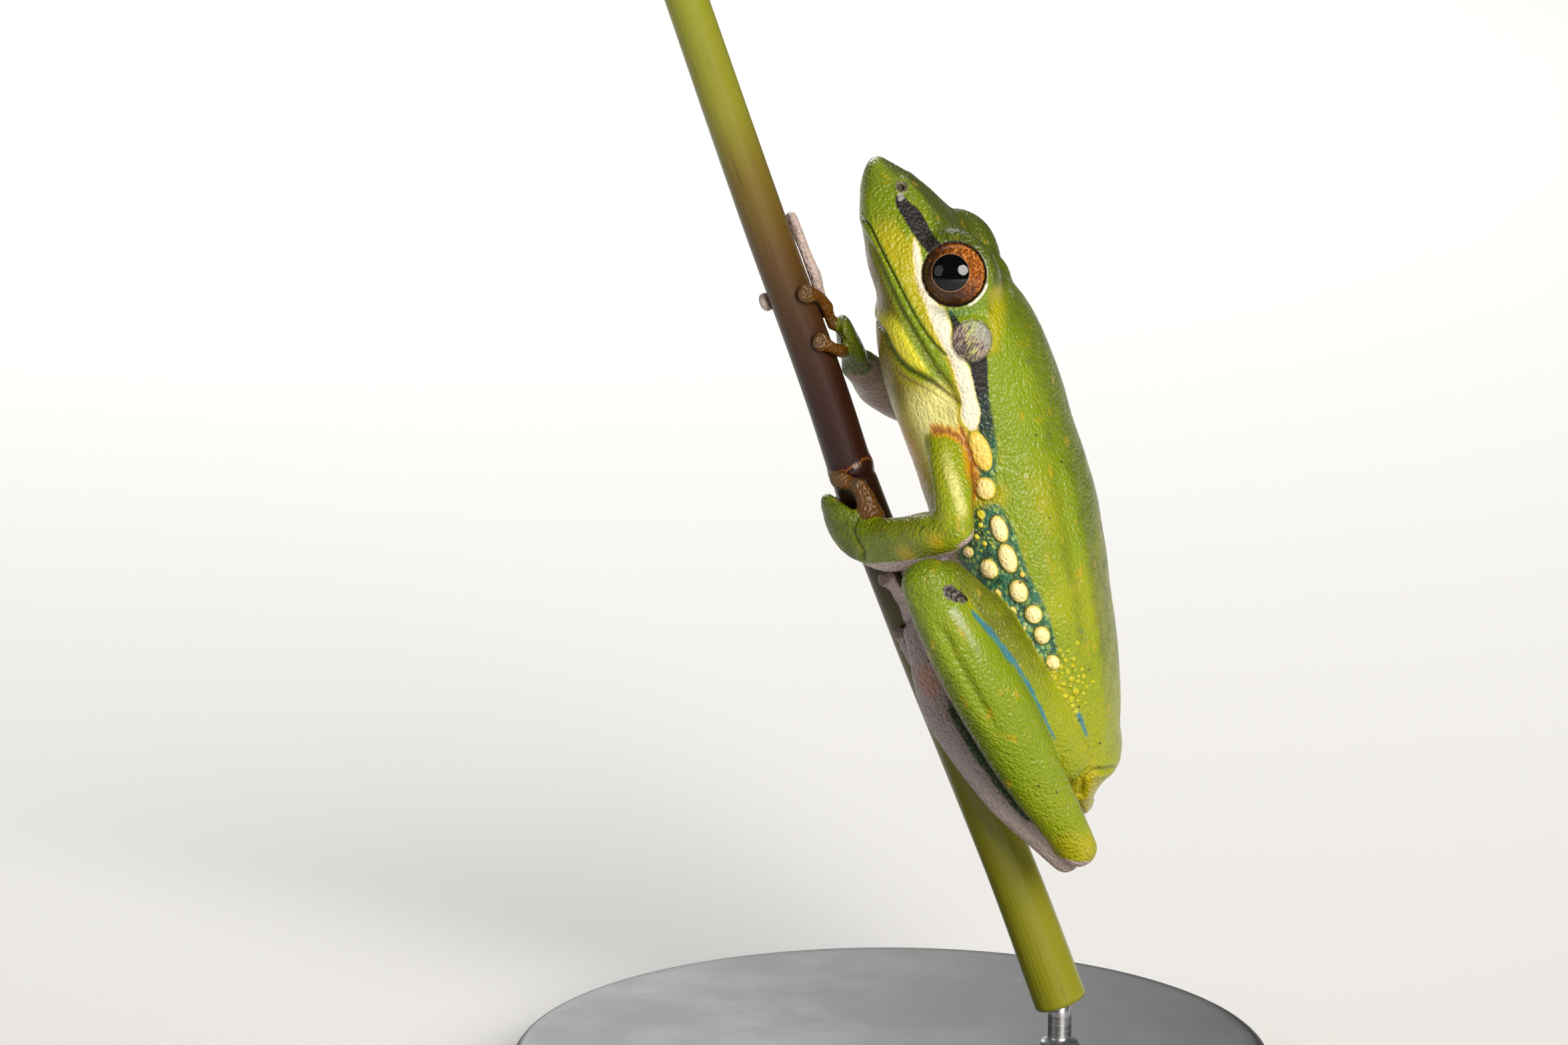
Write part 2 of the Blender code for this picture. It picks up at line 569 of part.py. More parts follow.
def make_leg(side, word, toes, parts):
    hip, knee, heel = (0.0, 0.0, 0.0) if side > 0 else RIGHT_LEG_BACK
    thigh_rows = mirrored(set_back(THIGH, (hip, knee)), side)
    shank_rows = mirrored(set_back(SHANK, (knee, heel)), side)
    tarsus_rows = mirrored(set_back(TARSUS, (heel, hip)), side)
    foot_rows = mirrored(set_back(FOOT, (hip, hip)), side)
    thigh = limb("thigh_" + word, thigh_rows, parts, 14, 9)
    shank = limb("shank_" + word, shank_rows, parts, 14, 11)
    combine(thigh, [trunk("torso_grown", TORSO_PLACES, parts, 28, GAP),
                    limb("shank_grown", shank_rows, parts, 14, 11, GAP)], "DIFFERENCE")
    tarsus = limb("tarsus_" + word, tarsus_rows, parts, 12, 9)
    shank_grown = limb("shank_grown", shank_rows, parts, 14, 11, GAP)
    combine(tarsus, [shank_grown, grown_reed(parts, GRIP)], "DIFFERENCE")
    foot = loft("foot_" + word, limb_rings(foot_rows, 12, 7, 0.0, None), parts)
    tarsus_grown = limb("tarsus_grown", tarsus_rows, parts, 12, 9, GAP)
    combine(foot, [tarsus_grown, grown_reed(parts, GRIP)], "DIFFERENCE")
    for k, places in enumerate(toes):
        made = digit(f"toe_{word}_{k + 1}", places, side, TOE_RADIUS, parts)
        combine(made, [loft("foot_grown", limb_rings(foot_rows, 12, 7, GAP, None), parts)], "DIFFERENCE")


# Looks: colour, roughness and metallic for each kind of surface.
LOOKS = {
    "green_skin": ((0.30, 0.50, 0.02), 0.35, 0.0),
    "pale_skin": ((0.62, 0.50, 0.48), 0.4, 0.0),
    "amber_skin": ((0.55, 0.30, 0.05), 0.35, 0.0),
    "throat_skin": ((0.62, 0.50, 0.04), 0.4, 0.0),
    "ear_skin": ((0.20, 0.15, 0.10), 0.4, 0.0),
    "eye_copper": ((0.30, 0.10, 0.02), 0.08, 0.0),
    "reed_stem": ((0.24, 0.26, 0.04), 0.4, 0.0),
    "stand_paint": ((0.03, 0.03, 0.03), 0.4, 0.0),
    "stand_steel": ((0.55, 0.55, 0.56), 0.3, 1.0),
}
LOOK_OF = (("lower_jaw", "throat_skin"), ("eye_", "eye_copper"), ("tympanum_", "ear_skin"),
           ("finger_", "amber_skin"), ("toe_", "pale_skin"), ("tarsus_", "pale_skin"), ("foot_", "pale_skin"),
           ("reed", "reed_stem"), ("stand_base", "stand_paint"), ("stand_rod", "stand_steel"))


def paint(obj):
    """Each node has a material of its own."""
    kind = next((look for start, look in LOOK_OF if obj.name.startswith(start)), "green_skin")
    colour, roughness, metallic = LOOKS[kind]
    material = bpy.data.materials.new(obj.name + "_" + kind)
    material.use_nodes = True
    shader = material.node_tree.nodes["Principled BSDF"]
    shader.inputs["Base Color"].default_value = (*colour, 1.0)
    shader.inputs["Roughness"].default_value = roughness
    shader.inputs["Metallic"].default_value = metallic
    obj.data.materials.clear()
    obj.data.materials.append(material)


def make_stand(stand):
    """A flat round base and one short rod up to the reed's cut end, in world millimetres."""
    behind = REED_ENDS[1]
    end_x = SNOUT_LEVEL_AT[0] + behind * math.sin(REED_LEAN)
    end_z = SNOUT_LEVEL_AT[1] - behind * math.cos(REED_LEAN)
    disc("stand_base", (0, 0, BASE_THICKNESS / 2), (0, 0, 1), BASE_RADIUS, BASE_THICKNESS, stand, 64,
         top_radius=BASE_RADIUS - 0.5)
    bottom = BASE_THICKNESS + GAP
    top = end_z - GAP - 0.5 * ROD_RADIUS
    disc("stand_rod", (end_x, 0, (bottom + top) / 2), (0, 0, 1), ROD_RADIUS, top - bottom, stand, 20)


def place(obj):
    """Turns the mesh to metres, and puts the object's own origin at the middle of its box."""
    corners = [Vector(corner) for corner in obj.bound_box]
    middle = sum(corners, Vector()) / len(corners)
    obj.data.transform(Matrix.Scale(MM, 4) @ Matrix.Translation(-middle))
    obj.location = middle * MM


def leaning_frame(collection):
    """The empty that leans the frog's frame: x down the reed, y towards the back, z to the frog's left."""
    down = Vector((math.sin(REED_LEAN), 0, -math.cos(REED_LEAN)))
    across = Vector((math.cos(REED_LEAN), 0, math.sin(REED_LEAN)))
    front = Vector((0, -1, 0))
    back = across * math.cos(BACK_TURN) + front * math.sin(BACK_TURN)
    left = front * math.cos(BACK_TURN) - across * math.sin(BACK_TURN)
    lean = bpy.data.objects.new("frog_on_reed", None)
    collection.objects.link(lean)
    lean.location = Vector((SNOUT_LEVEL_AT[0], 0, SNOUT_LEVEL_AT[1])) * MM
    lean.rotation_euler = Matrix((down, back, left)).transposed().to_euler()
    return lean


def main():
    clear_scene()
    parts = new_collection("wallum_sedge_frog")
    make_head(parts)
    make_torso(parts)
    make_arm(1, "left", UPPER_ARM_LEFT, FOREARM_LEFT, HAND_LEFT, FINGERS_LEFT, parts)
    make_arm(-1, "right", UPPER_ARM_RIGHT, FOREARM_RIGHT, HAND_RIGHT, FINGERS_RIGHT, parts)
    make_leg(1, "left", TOES_LEFT, parts)
    make_leg(-1, "right", TOES_RIGHT, parts)
    make_reed(parts)
    on_the_reed = list(parts.objects)
    make_stand(parts)
    for obj in list(parts.objects):
        place(obj)
        paint(obj)
        print(obj.name, len(obj.data.polygons))
    lean = leaning_frame(parts)
    for obj in on_the_reed:
        obj.parent = lean


main()
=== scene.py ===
# %% [markdown]
# # A wallum sedge frog on its reed
# This small tree frog clings head up to a slanting reed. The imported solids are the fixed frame: they say
# where everything is and how big it is. They are faceted and parted by thin gaps, as solids have to be. A
# living frog has one skin without a seam, so this lesson grows that skin over the same sizes, sets the eyes
# into it, draws the markings on it and then dresses the reed and the stand.

import math

import bpy
import numpy as np
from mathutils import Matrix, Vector, kdtree


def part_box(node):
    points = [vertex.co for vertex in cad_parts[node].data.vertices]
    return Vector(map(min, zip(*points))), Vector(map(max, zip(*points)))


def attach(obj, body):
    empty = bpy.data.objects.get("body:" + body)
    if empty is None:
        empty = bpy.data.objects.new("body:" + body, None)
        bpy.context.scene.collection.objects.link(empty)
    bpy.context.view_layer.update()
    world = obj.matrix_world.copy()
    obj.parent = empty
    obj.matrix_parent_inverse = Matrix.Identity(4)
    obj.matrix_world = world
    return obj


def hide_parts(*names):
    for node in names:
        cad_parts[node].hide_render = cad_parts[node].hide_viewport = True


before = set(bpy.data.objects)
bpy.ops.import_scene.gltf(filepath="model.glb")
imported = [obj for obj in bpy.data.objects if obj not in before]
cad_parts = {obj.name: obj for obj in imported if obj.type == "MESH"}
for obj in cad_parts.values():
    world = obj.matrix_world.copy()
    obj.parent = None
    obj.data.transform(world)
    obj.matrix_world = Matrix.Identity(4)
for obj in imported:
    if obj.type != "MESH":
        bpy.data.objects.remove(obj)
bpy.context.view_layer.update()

# %% [markdown]
# ## The frog's own frame
# A frog on a leaning reed is awkward to measure in upright axes. It could be modelled level and turned
# afterwards by hand, but a small table of directions does it once for all. Everything on the animal is
# therefore given in millimetres in its own frame: x runs back from the snout along the reed, y from the
# reed's middle towards the frog's back, and z out to its left. The last step turns this into metres upright.

# %% The directions of that frame
MM = 0.001
REED_LEAN = math.radians(20.0)
BACK_TURN = math.radians(1.5)
DOWN = np.array((math.sin(REED_LEAN), 0.0, -math.cos(REED_LEAN)))
ACROSS = np.array((math.cos(REED_LEAN), 0.0, math.sin(REED_LEAN)))
FRONT = np.array((0.0, -1.0, 0.0))
BACKWARD = ACROSS * math.cos(BACK_TURN) + FRONT * math.sin(BACK_TURN)
LEFT = FRONT * math.cos(BACK_TURN) - ACROSS * math.sin(BACK_TURN)
REED_BESIDE_SNOUT = np.array((-5.44, 0.0, 38.93))


def upright(points):
    """Points in the frog's frame, as places in metres in the room."""
    points = np.asarray(points, float)
    turned = points[:, :1] * DOWN + points[:, 1:2] * BACKWARD + points[:, 2:3] * LEFT
    return (turned + REED_BESIDE_SNOUT) * MM


print("the vent is at", upright([(29.3, 3.8, 0.0)])[0].round(4), "m")

# %% [markdown]
# ## The camera
# The photograph looks a little down on the frog's left side, which shows in the far brow standing clear of
# the head. A camera could be placed by eye, but here its height, distance and angle of view follow from
# that: 12.5 degrees down from 290 mm away, with 65 mm across the frame where the frog is.

# %% The camera
def object_from(name, data):
    """A new object of the scene, made from a mesh, a light or a camera."""
    made = bpy.data.objects.new(name, data)
    bpy.context.scene.collection.objects.link(made)
    return made


CAMERA_DROP = math.radians(12.5)
CAMERA_AWAY = 0.290
SEEN_ACROSS = 0.06494
LOOKED_AT = Vector((-0.00451, 0.0, 0.0252))
look = Vector((0.0, math.cos(CAMERA_DROP), -math.sin(CAMERA_DROP)))
camera_data = bpy.data.cameras.new("camera")
camera_data.sensor_width = 36.0
camera_data.lens = camera_data.sensor_width * CAMERA_AWAY / SEEN_ACROSS
camera_data.clip_start = 0.01
camera = object_from("camera", camera_data)
camera.location = LOOKED_AT - look * CAMERA_AWAY
camera.rotation_euler = look.to_track_quat("-Z", "Y").to_euler()
bpy.context.scene.camera = camera
print("the camera stands", round(camera.location.z * 1000, 1), "mm above the floor")

# %% [markdown]
# ## The floor and the lights
# A wet skin shows its form by what it mirrors, so the lights matter as much as the colours. Small lamps
# would give hard dots. A broad soft light to the upper right makes the long gloss on the back, one on the
# left fills the shade, one behind draws the outline, and the last one brightens the floor behind the frog.

# %% The floor
paper = bpy.data.materials.new("floor_paper")
paper.use_nodes = True
paper_shader = paper.node_tree.nodes["Principled BSDF"]
paper_shader.inputs["Base Color"].default_value = (0.84, 0.83, 0.81, 1.0)
paper_shader.inputs["Roughness"].default_value = 0.9
floor_mesh = bpy.data.meshes.new("floor")
floor_mesh.from_pydata([(-3, -3, 0), (3, -3, 0), (3, 3, 0), (-3, 3, 0)], [], [(0, 1, 2, 3)])
floor_mesh.materials.append(paper)
floor = object_from("floor", floor_mesh)
print("a floor of pale paper")

# %% The lights
def soft_light(name, place, size, watts, colour, aim=(0, 0, 0.025)):
    """A round soft light in metres, turned to its aim, which is the frog where none is given."""
    data = bpy.data.lights.new(name, "AREA")
    data.shape = "DISK"
    data.size = size
    data.energy = watts
    data.color = colour
    light = object_from(name, data)
    light.location = place
    light.rotation_euler = (Vector(aim) - Vector(place)).to_track_quat("-Z", "Y").to_euler()


soft_light("key_light", (0.24, -0.45, 0.28), 0.34, 4.1, (1.0, 0.96, 0.90))
soft_light("fill_light", (-0.42, -0.25, 0.20), 0.30, 0.25, (0.95, 0.98, 1.0))
soft_light("back_light", (-0.10, 0.42, 0.24), 0.30, 1.0, (1.0, 1.0, 1.0))
soft_light("floor_light", (0.0, 0.20, 0.28), 0.30, 0.45, (1.0, 1.0, 1.0), (0.0, 0.40, 0.0))
room = bpy.data.worlds.new("room")
room.use_nodes = True
room_light = room.node_tree.nodes["Background"]
room_light.inputs["Color"].default_value = (0.80, 0.82, 0.85, 1.0)
room_light.inputs["Strength"].default_value = 0.13
bpy.context.scene.world = room
bpy.context.scene.view_settings.view_transform = "Standard"
print("four soft lights and a pale room")

# %% [markdown]
# ## Forms drawn through rings
# A frog's body is a tube that swells and narrows. It could be sculpted from a ball or built from metaballs,
# but then its sizes would be lost. A table of a few widths and heights, with a smooth curve through them,
# keeps the measured sizes and needs few numbers.

# %% A smooth curve through a table
def smooth_through(points, at):
    """A curve through points whose first column rises, read at the places in at."""
    table = np.asarray(points, float)
    x, y = table[:, 0], table[:, 1:]
    step = np.diff(x)[:, None]
    rise = np.diff(y, axis=0) / step
    slope = np.empty_like(y)
    slope[0], slope[-1] = rise[0], rise[-1]
    before, after = 1 / step[:-1], 1 / step[1:]
    slope[1:-1] = (rise[:-1] * before + rise[1:] * after) / (before + after)
    at = np.clip(np.atleast_1d(np.asarray(at, float)), x[0], x[-1])
    i = np.clip(np.searchsorted(x, at, side="right") - 1, 0, len(x) - 2)
    h = step[i]
    t = (at - x[i])[:, None] / h
    value = (
        y[i] * (2 * t**3 - 3 * t**2 + 1)
        + slope[i] * h * (t**3 - 2 * t**2 + t)
        + y[i + 1] * (3 * t**2 - 2 * t**3)
        + slope[i + 1] * h * (t**3 - t**2)
    )
    return value[:, 0] if value.shape[1] == 1 else value


# %% Rings joined to a closed form
def round_angles(sides):
    return np.arange(sides) * 2 * math.pi / sides


def unit(vector):
    return vector / np.linalg.norm(vector)


def tube_faces(rings, sides):
    """Four-sided faces between rings that are stored one after another, with a fan at each end."""
    ring, side = np.meshgrid(np.arange(rings - 1), np.arange(sides), indexing="ij")
    nxt = (side + 1) % sides
    faces = np.stack((ring * sides + side, (ring + 1) * sides + side, (ring + 1) * sides + nxt,
                      ring * sides + nxt), -1).reshape(-1, 4).tolist()
    first, last = rings * sides, rings * sides + 1
    for k in range(sides):
        faces.append([first, k, (k + 1) % sides])
        faces.append([last, (rings - 1) * sides + (k + 1) % sides, (rings - 1) * sides + k])
    return faces


def closed_form(rings):
    """Points and faces of a closed form through rings of equal count."""
    rings = np.asarray(rings, float)
    ends = np.array((rings[0].mean(0), rings[-1].mean(0)))
    return np.vstack((rings.reshape(-1, 3), ends)), tube_faces(len(rings), rings.shape[1])


# %% [markdown]
# ## The trunk
# Head and body are one tapering form, flat-bellied and highest behind the ears. The tables give the height
# of the back and belly, the level of the widest line and the half-width, each against the distance behind
# the snout. The sections are a little squarer than an ellipse on the head, where the skull shows.

# %% The trunk's sizes
SNOUT_TO_VENT = 29.3
BACK = ((0.0, 4.9), (0.12, 5.12), (0.4, 5.38), (0.8, 5.74), (1.7, 6.36), (2.7, 6.85), (4.2, 7.35),
        (5.8, 7.9), (7.2, 8.55), (8.7, 8.93), (10.1, 9.02), (13.2, 8.91), (16.5, 8.75), (18.3, 8.45),
        (20.0, 8.08), (23.4, 7.3), (25.9, 6.47), (27.6, 5.66), (28.15, 4.8), (28.85, 4.14), (29.3, 3.8))
BELLY = ((0.0, 4.9), (0.12, 4.66), (0.44, 4.32), (0.82, 4.05), (1.5, 3.75), (2.1, 3.53), (3.0, 3.37),
         (4.3, 3.15), (5.4, 3.06), (6.4, 2.69), (7.6, 2.32), (8.9, 2.12), (11.8, 2.1), (14.0, 2.05),
         (18.0, 1.75), (22.0, 1.75), (25.5, 2.3), (28.0, 3.1), (29.3, 3.8))
WIDEST = ((0.0, 4.9), (0.5, 4.7), (1.4, 4.4), (4.0, 4.6), (8.0, 5.1), (12.0, 5.2), (20.0, 4.8),
          (26.0, 4.3), (29.3, 3.8))
HALF_WIDTH = ((0.0, 0.0), (0.12, 0.42), (0.5, 0.92), (1.4, 1.6), (2.6, 2.3), (4.2, 3.1), (5.8, 3.7),
              (8.0, 4.15), (10.0, 4.1), (12.5, 4.25), (17.5, 4.75), (21.5, 4.4), (25.0, 3.4),
              (27.4, 2.2), (28.6, 1.1), (29.3, 0.0))
SQUARE_ABOVE = ((0.0, 2.0), (2.0, 2.5), (5.0, 2.5), (9.0, 2.2), (28.6, 2.1))
SQUARE_BELOW = ((0.0, 2.0), (4.0, 2.4), (8.0, 2.3), (28.6, 2.0))


# %% The trunk's rings
def trunk_rings(count=190, sides=120):
    """Rings that crowd towards snout and vent, where the form closes fastest."""
    places = SNOUT_TO_VENT * (0.5 - 0.5 * np.cos(np.linspace(0.03, math.pi - 0.03, count)))
    back, belly = smooth_through(BACK, places), smooth_through(BELLY, places)
    level, half = smooth_through(WIDEST, places), smooth_through(HALF_WIDTH, places)
    above, below = smooth_through(SQUARE_ABOVE, places), smooth_through(SQUARE_BELOW, places)
    turn = round_angles(sides)
    c, s = np.cos(turn)[None], np.sin(turn)[None]
    power = np.where(s > 0, 2 / above[:, None], 2 / below[:, None])
    reach = np.where(s > 0, (back - level)[:, None], (level - belly)[:, None])
    y = level[:, None] + reach * np.sign(s) * np.abs(s) ** power
    z = half[:, None] * np.sign(c) * np.abs(c) ** power
    return np.stack((np.broadcast_to(places[:, None], y.shape), y, z), -1)


flesh = []  # one entry for each form: its name, points, faces, share along it and side of it


def add_trunk_part(form):
    points, faces = form
    flesh.append(("trunk", points, faces, points[:, 0] / SNOUT_TO_VENT, np.zeros(len(points))))
    return points


points = add_trunk_part(closed_form(trunk_rings()))
print("trunk:", len(points), "points, widest", round(float(points[:, 2].max() * 2), 2), "mm")

# %% [markdown]
# ## Brows
# A tree frog's eyes stand out of the head in a soft swelling, which runs out into nape and snout. One egg
# would end too short, so each brow is three eggs sunk into the skull. The socket and lids are shaped later,
# when the skin is one piece.

# %% The brows
SIDES = (1, -1)


def egg(centre, radii, rows=40, sides=64):
    """An egg-shaped form, drawn as rings along x."""
    angle = np.linspace(0.05, math.pi - 0.05, rows)
    turn = round_angles(sides)
    x = -np.cos(angle)[:, None] * radii[0] + centre[0] + turn * 0
    y = np.sin(angle)[:, None] * np.cos(turn) * radii[1] + centre[1]
    z = np.sin(angle)[:, None] * np.sin(turn) * radii[2] + centre[2]
    return closed_form(np.stack((x, y, z), -1))


BROWS = (  # the swelling over the eye, its run into the nape, and its run into the snout
    (5.64, 6.66, 2.30, 2.12, 1.64, 1.20),
    (6.75, 7.17, 1.50, 1.50, 1.28, 1.00),
    (4.30, 6.62, 1.55, 1.00, 0.90, 0.80),
)
for side in SIDES:
    for along, up, out, *radii in BROWS:
        add_trunk_part(egg((along, up, side * out), radii))
print(len(BROWS), "eggs for each brow")

# %% [markdown]
# ## Limbs
# Each limb is a tube along a bent line, with a width and a thickness at each point of it. The ends are
# rounded and run into their neighbour, so that elbow, knee and heel close without a step. Fingers and toes
# lie on the reed: the place along it and the angle round it say where, and the reed's own radius how far out.

# %% The reed's line, which fingers and toes lie on
REED_PATH = ((-9.8, -0.06), (0.7, -0.26), (9.0, -0.33), (12.6, -0.46), (17.0, -0.38), (21.4, -0.28),
             (26.0, -0.11), (31.0, 0.05), (36.6, 0.06))
REED_THICKNESS = ((-9.8, 0.87), (0.6, 0.91), (9.0, 0.92), (22.0, 0.98), (30.0, 1.05), (36.6, 1.12))
REED_ENDS = (-9.8, 36.6)
GRIP_GAP = 0.04  # between the reed and the skin that grips it


def reed_bow(behind):
    return float(smooth_through(REED_PATH, behind)[0])


def reed_radius(behind):
    return float(smooth_through(REED_THICKNESS, behind)[0])


# %% A limb's rings
CAP_ANGLES = (85, 68, 50, 34, 17)


def limb_form(path, sides=36, spacing=0.12, hint=(0, 0, 1)):
    """Rings along rows of x, y, z, half-width and half-thickness. Without a hint the thickness is measured
    away from the reed. Returns points, faces, the share along the limb and the side that each point is on."""
    table = np.asarray(path, float)
    run = np.concatenate(([0.0], np.cumsum(np.linalg.norm(np.diff(table[:, :3], axis=0), axis=1))))
    count = max(int(run[-1] / spacing), 8)
    values = smooth_through(np.column_stack((run, table)), np.linspace(0, run[-1], count))
    centres, half = values[:, :3], np.maximum(values[:, 3:], 0.05)
    direction = np.gradient(centres, axis=0)
    direction /= np.linalg.norm(direction, axis=1)[:, None]

    def cap(k, angle, way, along):
        out = direction[k] * half[k].mean() * math.sin(math.radians(angle))
        return centres[k] + way * out, direction[k], half[k] * math.cos(math.radians(angle)), along

    stations = [cap(0, angle, -1, 0.0) for angle in CAP_ANGLES]
    stations += [(centres[k], direction[k], half[k], k / (count - 1)) for k in range(count)]
    stations += [cap(-1, angle, 1, 1.0) for angle in reversed(CAP_ANGLES)]
    turn = round_angles(sides)
    rings = []
    for centre, way, size, _ in stations:
        away = (0, centre[1] - reed_bow(centre[0]), centre[2]) if hint is None else hint
        out = np.array(away, float)
        out = unit(out - way * out.dot(way))
        rings.append(centre + np.outer(np.cos(turn) * size[0], np.cross(way, out))
                     + np.outer(np.sin(turn) * size[1], out))
    points, faces = closed_form(rings)
    share = np.append(np.repeat([s[3] for s in stations], sides), (0.0, 1.0))
    outside = np.append(np.tile(np.sin(turn), len(stations)), (0.0, 0.0))
    return points, faces, share, outside


# %% The limbs' sizes
UPPER_ARM_LEFT = ((11.2, 4.2, 2.7, 1.0, 0.9), (12.2, 3.84, 3.9, 0.88, 0.84), (13.4, 3.57, 4.75, 0.8, 0.8),
                  (14.75, 3.2, 5.15, 0.77, 0.77))
FOREARM_LEFT = ((14.8, 3.2, 5.15, 0.8, 0.78), (14.87, 2.3, 4.5, 1.01, 0.9), (14.99, 1.2, 3.55, 1.07, 0.88),
                (15.05, 0.2, 2.6, 1.15, 0.75), (14.9, -0.6, 1.9, 1.05, 0.6))
HAND_LEFT = ((14.82, -0.65, 1.85, 0.98, 0.56), (14.6, -0.95, 1.6, 0.98, 0.5), (14.05, -1.38, 1.22, 1.0, 0.44),
             (13.45, -1.66, 0.87, 0.9, 0.38), (13.05, -1.76, 0.62, 0.66, 0.33))
THUMB_ROOT = ((13.95, -0.1, 1.75, 0.5, 0.34), (13.4, -0.18, 1.56, 0.46, 0.32), (12.8, -0.18, 1.5, 0.37, 0.28),
              (12.4, -0.27, 1.42, 0.27, 0.24))
UPPER_ARM_RIGHT = ((11.9, 4.5, 2.8, 0.95, 0.9), (12.1, 4.0, 4.0, 0.86, 0.84), (12.2, 3.5, 5.0, 0.82, 0.8),
                   (12.1, 3.2, 5.5, 0.78, 0.78))
FOREARM_RIGHT = ((12.05, 3.1, 5.5, 0.8, 0.78), (11.2, 2.5, 4.7, 0.96, 0.88), (9.8, 1.6, 3.35, 0.94, 0.84),
                 (8.7, 1.35, 2.05, 0.8, 0.7), (8.2, 1.2, 1.45, 0.74, 0.56))
HAND_RIGHT = ((8.1, 1.2, 1.35, 0.74, 0.52), (7.9, 1.22, 1.15, 0.76, 0.48), (7.2, 1.27, 0.65, 0.9, 0.44),
              (6.5, 1.32, 0.25, 0.84, 0.38))
THIGH = ((25.6, 3.85, 2.2, 1.45, 1.5), (23.4, 3.55, 3.3, 1.45, 1.45), (20.8, 3.1, 4.3, 1.38, 1.3),
         (18.4, 2.6, 5.1, 1.25, 1.1), (16.7, 2.0, 5.75, 1.1, 0.95))
SHANK = ((16.3, 1.45, 6.25, 1.12, 0.95), (18.0, 1.6, 6.1, 1.27, 1.08), (20.0, 1.85, 5.85, 1.42, 1.18),
         (22.0, 2.18, 5.5, 1.48, 1.2), (24.0, 2.42, 5.1, 1.4, 1.1), (26.0, 2.7, 4.65, 1.24, 0.98),
         (28.0, 3.03, 4.2, 1.0, 0.84), (29.5, 3.28, 3.85, 0.82, 0.74))
TARSUS = ((29.85, 2.62, 3.3, 0.66, 0.6), (28.6, 1.9, 3.05, 0.66, 0.58), (27.0, 1.0, 2.75, 0.66, 0.55),
          (25.1, 0.32, 2.4, 0.68, 0.52), (23.6, -0.15, 2.05, 0.68, 0.5), (22.6, -0.38, 1.82, 0.68, 0.48))
FOOT = ((22.4, -0.42, 1.76, 0.66, 0.46), (21.0, -0.2, 1.68, 0.75, 0.42), (19.9, 0.1, 1.64, 0.86, 0.38),
        (19.1, 0.2, 1.6, 0.92, 0.34))
RIGHT_LEG_BACK = (0.55, 1.1, 0.0)  # how much further back hip and foot, knee, and heel lie

# %% The places of fingers and toes: along the reed, and round it from the frog's side
FINGERS_LEFT = (
    ((14.4, 90), (13.95, 77), (13.4, 82), (12.85, 87), (12.35, 95), (12.02, 122)),
    ((13.8, 146), (13.5, 166), (13.35, 194), (13.4, 224)),
    ((14.1, 166), (14.05, 198), (14.15, 230), (14.3, 262)),
    ((14.9, 156), (15.2, 182), (15.35, 212), (15.4, 240)),
)
FINGERS_RIGHT = (
    ((7.3, 2), (7.2, -14), (6.85, -38), (6.33, -63)),
    ((6.1, 4), (5.5, -2), (4.75, -20), (4.25, -58)),
    ((5.6, 34), (4.4, 20), (3.0, 17), (1.4, 26)),
    ((6.4, 64), (5.5, 92), (4.7, 130), (4.25, 165)),
)
TOES_LEFT = (
    ((20.6, 28), (20.2, 18), (19.9, 8), (19.7, -2)),
    ((18.9, 34), (18.1, 26), (17.5, 18), (17.1, 8)),
    ((18.7, 60), (17.9, 55), (17.2, 52), (16.7, 50)),
    ((18.6, 86), (17.8, 83), (17.1, 89), (16.6, 98)),
    ((20.3, 108), (19.8, 108), (19.4, 109), (19.1, 111)),
)
TOES_RIGHT = (
    ((21.2, 28), (21.2, 16), (21.3, 4), (21.4, -8)),
    ((19.4, 36), (18.9, 33), (18.5, 30), (18.2, 27)),
    ((19.3, 60), (18.5, 63), (17.8, 66), (17.1, 68)),
    ((19.2, 86), (18.5, 91), (18.0, 99), (17.7, 108)),
    ((20.7, 110), (20.2, 114), (19.8, 117), (19.4, 120)),
)
FINGER_RADIUS = 0.25
TOE_RADIUS = 0.25
PAD_RADIUS = 0.43
PAD_HALF = 0.24
DIGIT_RINGS = 17


# %% A digit with its round pad
def digit_rows(places, side, radius):
    """Rows of a finger or toe. It is a little swollen at its joint, narrows, and widens to the flat pad."""
    places = np.asarray(places, float)
    shares = np.linspace(0, 1, DIGIT_RINGS)
    track = smooth_through(np.column_stack((np.linspace(0, 1, len(places)), places)), shares)
    rows = []
    for share, (behind, angle) in zip(shares, track):
        pad = math.exp(-((share - 0.95) / 0.12) ** 2)
        knuckle = 0.04 * math.exp(-((share - 0.45) / 0.1) ** 2)
        wide = radius + knuckle + (PAD_RADIUS - radius) * pad
        thick = radius * 0.95 + knuckle + (PAD_HALF - radius) * pad
        out = reed_radius(behind) + GRIP_GAP + thick
        turn = math.radians(side * angle)
        rows.append((behind, reed_bow(behind) + out * math.cos(turn), out * math.sin(turn), wide, thick))
    return rows


# %% All the limbs
def turned_round(rows, side, amounts=(0.0, 0.0)):
    """The rows for one side, set back along the reed by amounts that change evenly along the limb."""
    first, last = amounts
    steps = len(rows) - 1
    return [(x + first + (last - first) * k / steps, y, side * z, wide, thick)
            for k, (x, y, z, wide, thick) in enumerate(rows)]


def add_limb(kind, rows, hint=(0, 0, 1), sides=36, spacing=0.12):
    side = math.copysign(1.0, rows[-1][2])
    points, faces, share, outside = limb_form(rows, sides, spacing, hint)
    flesh.append((kind, points, faces, share, outside * (side if hint is not None else 1.0)))


